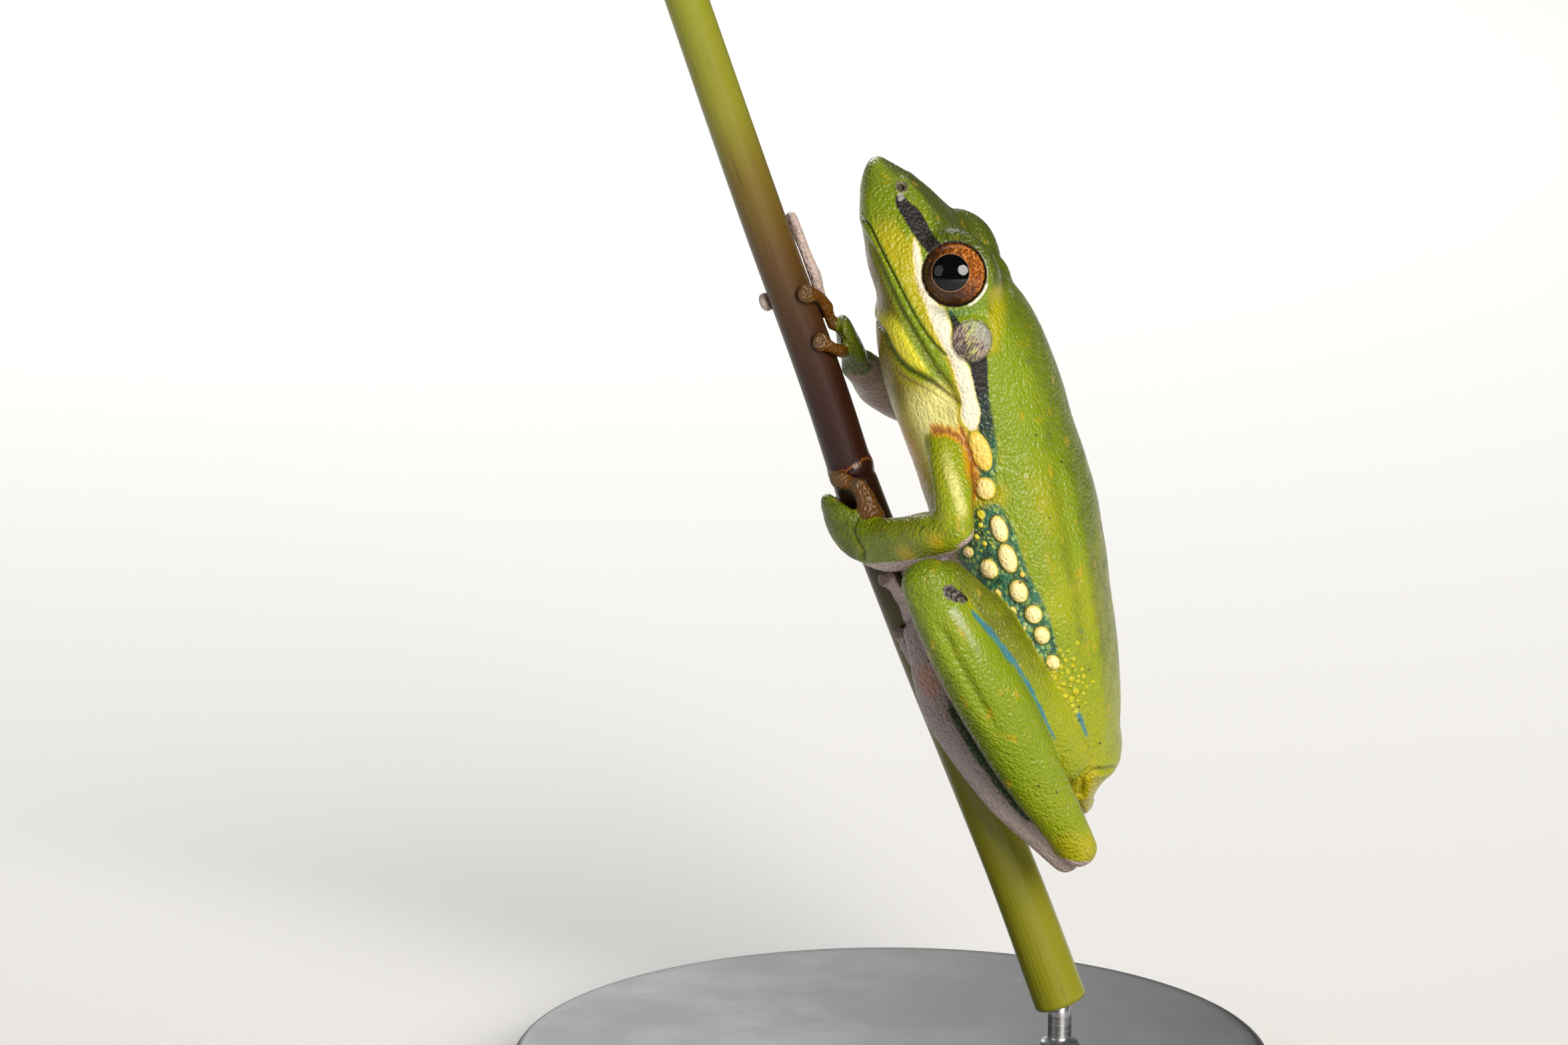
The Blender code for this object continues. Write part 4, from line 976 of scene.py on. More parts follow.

# %% [markdown]
# ## Soft tints
# The greens shift with the part of the body, and painted shade darkens them where the skin is turned away
# from the light. A tint with a clear edge would look painted on. So each one is a product of slow slopes,
# given as the millimetres behind the snout or above the reed where it starts, is full, begins to fade and is
# gone, and all of them are softened together.

# %% Yellow on cheek and throat, and gold with painted shade under the jaw
_, over_mouth, _ = line_distance(view, MOUTH)
yellow_mask = on_part(head, between(over_mouth, 0.0, 0.3, 0.9, 1.45) * between(behind, 1.4, 3.6, 8.0, 9.0))
_, over_fold, _ = line_distance(view, JAW_FOLD)
# Gold brown under the jaw fold, under the crease and along the throat's underside: the throat's own gold,
# darkened as painted shade where the skin turns from the light.
gold_shade_mask = on_part(head, ease(-over_fold, 0.0, 0.3) * between(behind, 1.8, 2.6, 5.4, 8.0))
sac_yellow = ease(sac, 0.1, 0.45) * ease(behind, 5.2, 6.6)
gold_shade_mask[head] *= 1 - 0.7 * sac_yellow
under_crease = ease(-over_crease, 0.0, 0.25) * ease(behind, 5.6, 6.6) * fade(up, 4.3, 4.9)
lift(yellow_mask, head, np.maximum(0.8 * sac_yellow, 0.9 * under_crease))
lift(gold_shade_mask, head, 0.55 * under_crease * fade(behind, 8.0, 10.0))
lift(gold_shade_mask, head, 0.7 * fade(up, 2.7, 3.5) * between(behind, 4.5, 6.0, 9.0, 10.8))
bright_mask = on_part(head, 0.9 * sac_yellow)
wrinkled = ease(-over_crease, 0.0, 0.4) * ease(behind, 7.0, 8.0) * fade(up, 4.6, 5.0)
wrinkle_mask = on_part(head, np.maximum(sac_yellow, wrinkled))
print("yellow over", count_over(yellow_mask), "points, gold over", count_over(gold_shade_mask))

# %% Yellow on body and leg, pale yellow on the chest and a painted highlight on the arm
NAPE_GLOW = ((6.6, 7.9), (7.4, 7.6), (8.4, 7.05))
ARM_HIGHLIGHT = ((11.2, 3.78), (12.5, 3.77), (13.8, 3.74), (15.0, 3.5))
glow_gap, _, _ = line_distance(side_view, NAPE_GLOW)
for glow in (0.75 * hill(glow_gap, 0.42) * ease(height_out, 1.6, 2.6), fade(y, 4.6, 5.4) * ease(x, 8.6, 9.6),
             0.5 * hill(oval(co, (15.3, 6.9), (2.2, 0.75)), 1.0),
             0.9 * hill(oval(co, (14.2, 4.9), (0.7, 0.8)), 1.0), 0.4 * ease(x, 26.6, 27.6)):
    lift(yellow_mask, trunk, glow)
lift(yellow_mask, shank, 0.3 * ease(x, 23.5, 27.0) + 0.35 * ease(x, 28.0, 29.2))
# A painted highlight: a pale yellow band along the near upper arm, where the light catches it.
arm_highlight_gap, _, arm_highlight_share = line_distance(side_view, ARM_HIGHLIGHT)
arm_highlight = upper_arm * ~far_side * hill(arm_highlight_gap, 0.3) * np.sin(math.pi * (0.1 + 0.85 * arm_highlight_share))
chest_and_arm_highlight_mask = trunk * between(y, 2.2, 3.5, 4.5, 5.1) * between(x, 8.2, 10.3, 11.5, 14.5)
chest_and_arm_highlight_mask = np.maximum(chest_and_arm_highlight_mask, 0.65 * arm_highlight)
print("yellow now over", count_over(yellow_mask), "points, pale yellow over", count_over(chest_and_arm_highlight_mask))

# %% Lime and painted shade
towards_vent = 0.75 * ease(x, 12.0, 22.0) + 0.25 * ease(x, 22.0, 27.0)
lime_mask = np.select([upper_arm, thigh, forearm, hand, trunk], [0.75, 0.85, 0.3, 0.1, towards_vent], 0.0)
facing_up = skin_normals()[:, 1]
_, over_shank, _ = line_distance(side_view, [row[:2] for row in SHANK])
# Painted shade on the trunk: the front and top of the snout, the brow, and skin facing up on head and back
# are darkened where less light falls.
trunk_shade = np.max((
    (1 - 0.8 * ease(x, 4.0, 7.5)) * fade(x, 6.5, 9.5) * ease(y, 5.6, 7.0),
    0.95 * ease(facing_up, 0.25, 0.85) * fade(x, 5.5, 9.0),
    0.62 * ease(facing_up, 0.45, 1.0) * (1 - 0.6 * ease(x, 20.0, 28.0)),
    0.45 * fade(x, 2.2, 4.4) * ease(y, 3.9, 4.4),
), axis=0)
# Painted shade on the limbs: the elbow's underside, the knee, the shank's lower edge, the thigh beside the
# blue line, and the whole forearm and hand.
elbow_shade = 0.4 * fade(y, 2.95, 3.45) * fade(x, 13.6, 14.6)
knee_shade = 0.42 * fade(x, 16.0, 18.2)
shank_shade = np.maximum(knee_shade, 0.6 * ease(-over_shank, 0.35, 1.15))
thigh_shade = np.maximum(knee_shade, 0.7 * fade(x, 19.0, 26.0))
painted_shade_mask = np.select([trunk, forearm, upper_arm, hand, shank, thigh],
                      [trunk_shade, 0.45, elbow_shade, 0.7, shank_shade, thigh_shade], 0.0)
print("lime over", count_over(lime_mask), "points, shade over", count_over(painted_shade_mask))

# %% The fold where the arm leaves the body
ARM_EDGE = ((11.1, 4.75), (11.5, 4.72), (12.36, 4.68), (13.44, 4.42), (14.98, 3.82))
first, second = edges[:, 0], edges[:, 1]
meet = (upper_arm[first] & trunk[second]) | (trunk[first] & upper_arm[second])
root = np.unique(edges[meet].ravel())
root = root[y[root] > 3.6]
near_root = (x > 9.8) & (x < 15.5) & (y > 3.0) & (y < 6.0) & (height_out > 2.4)
shoulder = np.where((upper_arm | trunk) & near_root)[0]
behind = x[shoulder]
root_gap = gap_to(co[shoulder], co[root[::3]])
arm_gap, _, arm_share = line_distance(co[shoulder, :2], ARM_EDGE)
# A dark red line where the arm meets the body: the skin's red, darkened as painted shade along the arm's
# edge.
armpit_shade_line = on_part(shoulder, np.maximum(hill(root_gap, 0.08) * (1 - 0.6 * ease(11.0 - behind, 0.0, 0.4)),
                                           hill(arm_gap, 0.07) * (1 - 0.6 * ease(arm_share, 0.5, 1.0))))
beside = np.where(trunk[shoulder] | (behind < 11.6), 1.0, 0.3)
orange_mask = on_part(shoulder, np.maximum(hill(root_gap, 0.26) * beside * fade(behind, 13.6, 14.6),
                                           0.9 * hill(arm_gap, 0.3) * fade(arm_share, 0.35, 0.75)))
lift(orange_mask, trunk & (y < 3.4) & (x > 9.0), 0.75 * hill(x - 12.0, 2.2) * fade(y, 2.2, 3.2))
for spot in ((14.9, 2.3), (15.3, 0.85)):
    spot_gap = oval(co, spot, (1, 1))
    near_spot = forearm & ~far_side & (spot_gap < 0.8)
    orange_mask[near_spot] = 0.4 * hill(spot_gap, 0.32)[near_spot]
    yellow_mask[near_spot] = 0.9 * hill(spot_gap, 0.5)[near_spot]
print("arm root of", len(root), "points")

# %% Undersides and digits
inner = ease(-outside, 0.1, 0.75)
far_finger = finger & (x < 5.0) & (far_side | (y < -0.7))
pale_mask = np.select(
    [upper_arm | forearm | thigh | shank, trunk & (x > 9.0), tarsus, foot | far_finger, toe],
    [inner * 0.9, fade(y, 2.1, 3.3) * ease(x, 13.5, 17.0), 1.0, 0.9, 0.8], 0.0)
lift(pale_mask, (forearm | hand) & ~far_side & (x > 15.2), ease(x, 15.4, 15.7))
lift(pale_mask, upper_arm & (x > 15.0), ease(x + 0.25 * (y - 3.2), 15.08, 15.4))
lift(pale_mask, shank & (x > 29.5), ease(x - 0.5 * (y - 3.3), 29.75, 30.1))
amber_mask = np.select([far_finger, finger, toe], [0.15, 1.0, 0.3], 0.0)
pad_mask = ((finger & ~far_finger) | toe) * ease(share, 0.84, 0.97)
print("pale over", count_over(pale_mask), "points, pads over", count_over(pad_mask))

# %% The colours of the lower leg
TARSUS_STRIP = ((22.6, 0.42), (23.96, 0.68), (25.53, 1.12), (27.09, 1.68), (28.3, 2.35))
SHANK_HIGHLIGHT = ((17.6, 2.1), (18.6, 2.33), (19.8, 2.5))
strip_gap, _, strip_share = line_distance(co[:, :2], TARSUS_STRIP)
green_strip = (tarsus & (outside > 0.0)) * hill(strip_gap, 0.42) * fade(strip_share, 0.85, 1.0)
mauve_mask = (tarsus | foot | toe) * (1 - 0.85 * ease(x, 24.5, 28.5))
# A painted highlight: a pale wet gleam along the upper shank.
shank_highlight_gap, _, shank_highlight_share = line_distance(side_view, SHANK_HIGHLIGHT)
shank_highlight_mask = shank * hill(shank_highlight_gap, 0.24) * (1 - 0.6 * shank_highlight_share)
salmon_mask = (tarsus | foot) * hill(x - 21.1, 0.8) * hill(y + 0.3, 0.4)
red_edge = shank * hill(outside - 0.2, 0.2) * ease(-over_shank, 0.4, 0.8) * between(x, 18.0, 20.5, 28.0, 29.5)
print("mauve over", count_over(mauve_mask), "points, green strip over", count_over(green_strip))

# %% Softening the tints and finding the folds for painted shade
weight = np.full(len(co), 0.6)
soft = np.column_stack((yellow_mask, gold_shade_mask, pale_mask, lime_mask, painted_shade_mask, amber_mask, wrinkle_mask,
                        bright_mask, mauve_mask, salmon_mask, chest_and_arm_highlight_mask))
soft = even_out(soft, edges, degree, weight, 10)
yellow_mask, gold_shade_mask, pale_mask, lime_mask, painted_shade_mask, amber_mask, wrinkle_mask, *others = soft.T
bright_mask, mauve_mask, salmon_mask, chest_and_arm_highlight_mask = others
# Painted shade: where the skin is concave, in folds and hollows, it is darkened.
hollow_shade = ((neighbour_mean(co, edges, degree) - co) * skin_normals()).sum(1)
hollow_shade_mask = ease(even_out(hollow_shade, edges, degree, weight, 5), 0.0005, 0.004)
print("folds over", count_over(hollow_shade_mask), "points")

# %% The lid's colours and the scar on the knee
SCAR = ((16.4, 1.97), (16.52, 2.33), (17.0, 2.66), (17.5, 2.98), (17.56, 2.84), (17.42, 2.56), (17.22, 2.24),
        (16.85, 1.98))
by_lid = np.where(lid_round < 1.0, 1.0, 0.0)
white_lid = between(lid_angle, -6, 12, 48, 64) * hill(lid_round - 0.115, 0.07)
thin_lid = between(lid_angle, 40, 58, 100, 122) * hill(lid_round - 0.085, 0.035)
white_lid = np.maximum(white_lid, 0.62 * thin_lid) * by_lid
dark_rim = np.maximum(ease(-lid_round, -0.035, -0.005), 0.8 * hill(lid_round - 0.04, 0.05) * (1 - white_lid))
cool_lid = hill(lid_round - 0.3, 0.2) * hill(lid_angle + 20, 40) * by_lid
knee_skin = np.where(shank & ~far_side & (x < 18.5))[0]
scar_mask = on_part(knee_skin, inside_outline(co[knee_skin, :2], SCAR), -1.0)
bare_mask = trunk * (height_out > 0.8) * hill(oval(co, (1.72, 5.47), (0.2, 0.15)), 1.0)
ear_down = ((co[:, 0] - EAR[0]) * LEAN_COS - (co[:, 1] - EAR[1]) * LEAN_SIN) / EAR_RADII[0]
print("white lid over", count_over(white_lid), "points, scar over", count_over(scar_mask, 0))

# %% Write the numbers on the skin
def write_mask(mesh, name, values):
    """Write a number, or a row of three, on every point of a mesh."""
    values = np.asarray(values, np.float32)
    form, field = ("FLOAT_VECTOR", "vector") if values.ndim == 2 else ("FLOAT", "value")
    mesh.attributes.new(name, form, "POINT").data.foreach_set(field, values.ravel())


def stand_upright(mesh, points):
    """Keep the points in the frog's frame as the mask place, and stand the mesh upright and smooth."""
    write_mask(mesh, "place", points)
    mesh.vertices.foreach_set("co", upright(points).astype(np.float32).ravel())
    mesh.polygons.foreach_set("use_smooth", np.ones(len(mesh.polygons), bool))
    mesh.update()


masks = {
    "stripe": stripe_inside, "mouth_side": mouth_side, "black": black_inside, "teal": teal_mask,
    "blue": blue_mask, "yellow": yellow_mask, "gold_shade": gold_shade_mask, "lime": lime_mask, "dark": painted_shade_mask,
    "pale": pale_mask, "neck": fade(x, 10.6, 13.4), "orange": orange_mask, "armpit_shade": armpit_shade_line,
    "wrinkle": wrinkle_mask, "amber": amber_mask, "pad": pad_mask, "gland": gland_mask,
    "gland_warm": gland_warm, "granule": granule_mask, "ear": ear_inside, "ear_across": ear_across,
    "ear_down": ear_down, "nostril": nostril_near, "hollow_shade": hollow_shade_mask, "bright": bright_mask,
    "chest_and_arm_highlight": chest_and_arm_highlight_mask, "mauve": mauve_mask, "salmon": salmon_mask, "red_edge": red_edge,
    "bare": bare_mask, "shank_highlight": shank_highlight_mask, "mouth": mouth_mask,
    # the folds, with the wrist crease, darkened as painted shade
    "fold_shade": np.maximum(fold_shade_mask, wrist_mask * 0.8), "white_lid": white_lid,
    "dark_rim": dark_rim * by_lid, "cool_lid": cool_lid, "scar": scar_mask, "green_strip": green_strip,
}
for name, values in masks.items():
    write_mask(skin_mesh, name, values)
stand_upright(skin_mesh, co)
skin = object_from("frog_skin", skin_mesh)
print(len(masks), "marking values on", len(co), "points")

# %% [markdown]
# ## A kit for finishes
# Every finish below is a chain of colours laid over each other, each held by a mask. Writing each node out
# would bury that idea. So a few short helpers add the nodes to whichever finish was begun last, and a value
# that comes from a node can be added, subtracted and multiplied like a number.

# %% Values that come from nodes
class Value:
    """An output of a node, with arithmetic that adds further nodes."""

    def __init__(self, socket):
        self.socket = socket

    def __add__(self, other):
        return add_node("Math", {0: self, 1: other}, operation="ADD")

    def __sub__(self, other):
        return add_node("Math", {0: self, 1: other}, operation="SUBTRACT")

    def __mul__(self, other):
        return add_node("Math", {0: self, 1: other}, operation="MULTIPLY")


def set_input(socket, value):
    if isinstance(value, Value):
        network.links.new(value.socket, socket)
    elif isinstance(value, tuple) and socket.type == "RGBA":
        socket.default_value = (*value, 1.0)
    else:
        socket.default_value = value


def add_node(kind, inputs, output=0, **settings):
    """Add a node with its settings and inputs to the current finish, and give back one of its outputs."""
    made = network.nodes.new("ShaderNode" + kind)
    for name, value in settings.items():
        setattr(made, name, value)
    for key, value in inputs.items():
        set_input(made.inputs[key], value)
    return Value(made.outputs[output])


# %% Helpers that make nodes
def new_finish(name):
    material = bpy.data.materials.new(name)
    material.use_nodes = True
    return material, material.node_tree, material.node_tree.nodes["Principled BSDF"]


def set_shader(values):
    for name, value in values.items():
        set_input(shader.inputs[name], value)


def mask_of(name, output="Fac"):
    return add_node("Attribute", {}, output, attribute_name=name)


def stretched(place, amounts):
    return add_node("Mapping", {"Vector": place, "Scale": amounts}, "Vector")


def place_of(amounts=(1, 1, 1)):
    """The place on the animal in millimetres, stretched where a pattern runs one way."""
    return stretched(mask_of("place", "Vector"), amounts)


def noise(place, per_mm, detail=3.0, roughness=0.5):
    inputs = {"Vector": place, "Scale": per_mm, "Detail": detail, "Roughness": roughness}
    return add_node("TexNoise", inputs, "Fac")


def cells(place, per_mm, feature="F1"):
    return add_node("TexVoronoi", {"Vector": place, "Scale": per_mm}, "Distance", feature=feature)


def step_of(value, low, high, to_low=0.0, to_high=1.0, kind="SMOOTHSTEP"):
    ends = {"From Min": low, "From Max": high, "To Min": to_low, "To Max": to_high}
    return add_node("MapRange", {"Value": value, **ends}, "Result", interpolation_type=kind)


def lay_over(under, over, mask):
    return add_node("Mix", {0: mask, 6: under, 7: over}, 2, data_type="RGBA")


def bump_over(height, strength, distance, under=None):
    inputs = {"Height": height, "Strength": strength, "Distance": distance}
    if under:
        inputs["Normal"] = under
    return add_node("Bump", inputs, "Normal")


# %% [markdown]
# ## The frog's skin
# The ground is a bright leaf green that shifts to lime and yellow in soft clouds, with flecks of orange
# yellow and dark specks. Over it lie the stripe, glands, flank and pale undersides. The skin is moist: fairly
# smooth, and grained like fine leather, so that its gloss breaks up into small lights.

# %% The ground colour
LEAF = (0.195, 0.272, 0.001)
PATCH_AND_PAINTED_SHADE = (0.045, 0.06, 0.0005)
LIME = (0.31, 0.34, 0.002)
YELLOW = (0.43, 0.36, 0.002)
ORANGE_YELLOW = (0.50, 0.33, 0.003)
finish, network, shader = new_finish("frog_skin_finish")
place = place_of()
clouds = noise(place, 0.35, 3.0)
patches = noise(place, 1.5, 4.0, 0.6)
fine_grain = noise(place, 7.0, 3.0, 0.6)


def broken(name, low, high, amount=0.25, grain=None):
    """A mask with its edge broken by noise."""
    return step_of(mask_of(name) + ((grain or patches) - 0.5) * amount, low, high)


lime = mask_of("lime") + (clouds - 0.5) * 2.2
colour = lay_over(LEAF, LIME, step_of(lime, 0.0, 1.0))
# Painted shade: the dark mask lays a deep green over the ground where the light falls off.
colour = lay_over(colour, PATCH_AND_PAINTED_SHADE, broken("dark", 0.1, 1.0, 0.5) * 0.88)
# Random darker patches of the skin's own green.
colour = lay_over(colour, PATCH_AND_PAINTED_SHADE, step_of(patches, 0.56, 0.8, 0.0, 0.22))
flecks = step_of(noise(place_of((0.8, 1.3, 1.0)), 1.3, 5.0, 0.62), 0.59, 0.71)
colour = lay_over(colour, ORANGE_YELLOW, flecks * 0.6)
print("the ground takes", len(network.nodes), "nodes")

# %% Soft tints over the ground
TEAL = (0.040, 0.150, 0.082)
BLUE = (0.008, 0.17, 0.28)
scales = cells(place_of((0.8, 1.0, 1.0)), 4.2)
teal = lay_over(TEAL, (0.28, 0.40, 0.09), step_of(scales, 0.5, 0.24, 0.0, 0.85))
teal = lay_over(teal, (0.008, 0.028, 0.026), step_of(patches, 0.53, 0.64, 0.0, 0.7))
teal = lay_over(teal, (0.004, 0.012, 0.011), step_of(mask_of("neck"), 0.1, 0.9, 0.0, 0.92))
strip = lay_over((0.028, 0.060, 0.035), (0.13, 0.17, 0.10), step_of(fine_grain, 0.48, 0.62))
blue = lay_over(BLUE, (0.03, 0.27, 0.22), step_of(fine_grain, 0.46, 0.62, 0.0, 0.6))
for name, tint, low, high, amount, most, grain in (
    ("yellow", YELLOW, 0.1, 0.9, 0.5, 0.85, patches),
    # the throat's gold, darkened as painted shade
    ("gold_shade", (0.16, 0.105, 0.001), 0.1, 0.8, 0.4, 0.85, patches),
    ("bright", (0.80, 0.72, 0.03), 0.1, 0.9, 0.5, 0.8, patches),
    # the chest's own pale yellow, and the painted highlight along the arm
    ("chest_and_arm_highlight", (0.90, 0.82, 0.30), 0.1, 0.9, 0.5, 0.85, patches),
    ("teal", teal, 0.12, 0.75, 0.55, 1.0, fine_grain),
    ("orange", (0.60, 0.27, 0.008), 0.15, 0.9, 0.3, 0.9, patches),
    ("pale", (0.50, 0.39, 0.35), 0.25, 0.75, 0.3, 1.0, patches),
    ("mauve", (0.33, 0.27, 0.275), None, None, 0.0, 0.8, patches),
    ("salmon", (0.46, 0.24, 0.17), 0.1, 0.8, 0.5, 0.8, patches),
    ("red_edge", (0.10, 0.022, 0.010), 0.1, 0.9, 0.3, 0.85, patches),
    ("amber", (0.11, 0.040, 0.002), 0.2, 0.9, 0.3, 1.0, patches),
    ("pad", (0.10, 0.055, 0.020), None, None, 0.0, 0.7, patches),
    ("green_strip", strip, 0.25, 0.6, 0.3, 1.0, patches),
    ("blue", blue, 0.2, 0.95, 1.5, 0.85, patches),
    # the painted wet highlight on the shank
    ("shank_highlight", (0.42, 0.47, 0.26), 0.2, 1.0, 0.9, 0.75, fine_grain),
):
    mask = mask_of(name) if low is None else broken(name, low, high, amount, grain)
    colour = lay_over(colour, tint, mask * most)
print("with the soft tints it is", len(network.nodes), "nodes")

# %% Stripes, glands and marks
CREAM = (0.93, 0.77, 0.38)
WHITE = (0.80, 0.74, 0.56)
BRIGHT_YELLOW = (0.80, 0.50, 0.03)
BLACK = (0.009, 0.006, 0.005)
edge_noise = (fine_grain - 0.5) * 0.16
stripe_edge = mask_of("stripe") + edge_noise
black_edge = mask_of("black") + edge_noise * 0.8
black_skin = lay_over(BLACK, (0.035, 0.030, 0.030), step_of(cells(place, 7.5), 0.12, 0.05))
stripe_colour = lay_over((0.85, 0.68, 0.30), WHITE, step_of(stripe_edge, 0.0, 0.16))
gland, gland_warm = mask_of("gland"), mask_of("gland_warm")
gland_colour = lay_over(CREAM, BRIGHT_YELLOW, gland_warm)
gland_colour = lay_over(gland_colour, (0.66, 0.60, 0.04), step_of(gland_warm, 0.84, 0.9))
gland_colour = lay_over(gland_colour, (0.76, 0.56, 0.05), step_of(gland, 0.34, 0.02))
for tint, mask in (
    (YELLOW, step_of(stripe_edge, -0.2, -0.02) * mask_of("mouth_side")),
    (black_skin, step_of(black_edge, -0.04, 0.05)),
    ((0.34, 0.31, 0.31), broken("bare", 0.3, 0.8, 0.9, fine_grain) * 0.85),
    (stripe_colour, step_of(stripe_edge, -0.02, 0.06)),
    ((0.60, 0.54, 0.015), step_of(mask_of("granule"), 0.0, 0.4) * 0.75),
    (gland_colour, step_of(gland, 0.0, 0.12)),
):
    colour = lay_over(colour, tint, mask)
print("with stripes and glands it is", len(network.nodes), "nodes")

# %% Ear drum
ear, ear_right, ear_down = mask_of("ear"), mask_of("ear_across"), mask_of("ear_down")
slant = {"Vector": place, "Angle": math.radians(52)}
slanted = add_node("VectorRotate", slant, "Vector", rotation_type="Z_AXIS")
strokes = noise(stretched(slanted, (0.55, 2.6, 1.0)), 4.6, 4.0, 0.7)
green_part = strokes + ear_right * ear_right * -0.35
dark_part = strokes + (ear_down * 0.6 - ear_right) * -0.13
ear_colour = lay_over((0.36, 0.245, 0.20), (0.30, 0.29, 0.23), step_of(ear_right - ear_down, 0.0, 0.7))
ear_colour = lay_over(ear_colour, (0.42, 0.50, 0.07), step_of(green_part, 0.46, 0.58, 0.0, 0.8))
ear_colour = lay_over(ear_colour, (0.030, 0.018, 0.016), step_of(dark_part, 0.52, 0.42, 0.0, 0.9))

# %% Lids, nostrils, folds and scars
nostril = mask_of("nostril") + edge_noise * 0.6
scar = mask_of("scar") + edge_noise * 2.5
scar_colour = lay_over((0.012, 0.009, 0.008), (0.14, 0.11, 0.10), step_of(fine_grain, 0.46, 0.58))
for tint, mask in (
    ((0.05, 0.04, 0.025), step_of(ear, -0.10, -0.02, 0.0, 0.6)),
    (ear_colour, step_of(ear, -0.02, 0.08)),
    (TEAL, mask_of("cool_lid") * 0.45),
    ((0.72, 0.68, 0.56), step_of(mask_of("white_lid"), 0.3, 0.75)),
    ((0.025, 0.016, 0.008), step_of(mask_of("dark_rim"), 0.2, 0.8)),
    ((0.13, 0.09, 0.065), step_of(nostril, 0.19, 0.27, 0.0, 0.85)),
    ((0.045, 0.025, 0.018), step_of(nostril, 0.34, 0.40)),
    ((0.07, 0.075, 0.008), step_of(mask_of("mouth"), 0.25, 0.9, 0.0, 0.8)),
    # painted shade in folds and creases
    ((0.075, 0.06, 0.003), mask_of("fold_shade") * 0.6),
    # painted shade in the hollows
    ((0.075, 0.085, 0.005), mask_of("hollow_shade") * 0.35),
    # the arm's root, dark red with painted shade
    ((0.22, 0.045, 0.006), mask_of("armpit_shade") * 0.85),
    (scar_colour, step_of(scar, -0.04, 0.05)),
    ((0.022, 0.022, 0.010), step_of(cells(place, 0.95), 0.075, 0.045) * 0.8),
):
    colour = lay_over(colour, tint, mask)
print("with every marking it is", len(network.nodes), "nodes")

# %% Gloss and grain
pebbles = cells(place_of((0.85, 1.0, 1.0)), 8.5, "SMOOTH_F1") * -1.0 + fine_grain * 0.5
wrinkles = noise(place_of((0.8, 2.2, 1.0)), 2.4, 4.0, 0.6) * (mask_of("wrinkle") * 1.9 + 0.10)
set_shader({
    "Base Color": colour,
    "Normal": bump_over(pebbles, 1.0, 0.00008, bump_over(wrinkles, 0.6, 0.00009)),
    "Roughness": step_of(patches, 0.3, 0.7, 0.22, 0.31) + step_of(black_edge, -0.04, 0.05) * 0.25,
    "Specular IOR Level": 0.42,
    "Subsurface Weight": 0.1,
    "Subsurface Radius": (1.0, 0.7, 0.25),
    "Subsurface Scale": 0.0003,
})
skin_mesh.materials.clear()
skin_mesh.materials.append(finish)
flesh_nodes = [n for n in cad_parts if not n.startswith(("eye_", "reed", "stand_"))]
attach(skin, "root")
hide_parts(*flesh_nodes)
print("the skin stands for", len(flesh_nodes), "solids")

# %% [markdown]
# ## The eyes
# The eye is a ball with a clear bulging cornea over a coppery iris. One painted ball would look flat from
# the side. So the iris is a low dome set inside, turned on a lathe with the round pupil as a dark well, and
# a thin clear shell over it carries the wet highlight.

# %% Lathe work
def lathe(profile, turns=96):
    """Points and faces of a profile of radius and height turned about its axis."""
    profile = np.asarray(profile, float)
    angle = round_angles(turns)
    r, h = profile[:, :1], profile[:, 1:2]
    return closed_form(np.stack((r * np.cos(angle), r * np.sin(angle), h + angle * 0), -1))


def on_axis(points, centre, aim):
    """Points of a lathe form, moved so that its axis stands along aim at centre, in the frog's frame."""
    aim = unit(aim)
    across = unit(np.cross((0.0, 1.0, 0.0), aim))
    return centre + points[:, :1] * across + points[:, 1:2] * np.cross(aim, across) + points[:, 2:3] * aim


def arc(radius, first, last, count):
    """Rows of a profile along a circle, from one angle to another in degrees."""
    return [(radius * math.cos(math.radians(a)), radius * math.sin(math.radians(a)))
            for a in np.linspace(first, last, count)]


PUPIL_RADIUS = 0.76
PUPIL_SHIFT = (-0.10, -0.11)  # towards the snout and downwards, which is where the animal looks
IRIS_RADIUS = 1.31
IRIS_EDGE = 0.60
IRIS_RISE = 0.30
SHELL_SCALE = 0.985
globe_profile = arc(EYE_RADIUS * SHELL_SCALE, -89, 24, 40)
for r in np.linspace(IRIS_RADIUS, PUPIL_RADIUS, 26):
    inwards = (r - PUPIL_RADIUS) / (IRIS_RADIUS - PUPIL_RADIUS)
    globe_profile.append((r, IRIS_EDGE + IRIS_RISE * (1 - inwards ** 1.5)))
globe_profile += [(PUPIL_RADIUS - 0.02, 0.86), (PUPIL_RADIUS - 0.04, 0.70), (0.4, 0.60), (0.02, 0.58)]
cornea_profile = arc(EYE_RADIUS, 89.6, 20, 50)
cornea_profile += [(r * SHELL_SCALE, h * SHELL_SCALE) for r, h in reversed(cornea_profile)]
print("iris from", PUPIL_RADIUS, "to", IRIS_RADIUS, "mm")

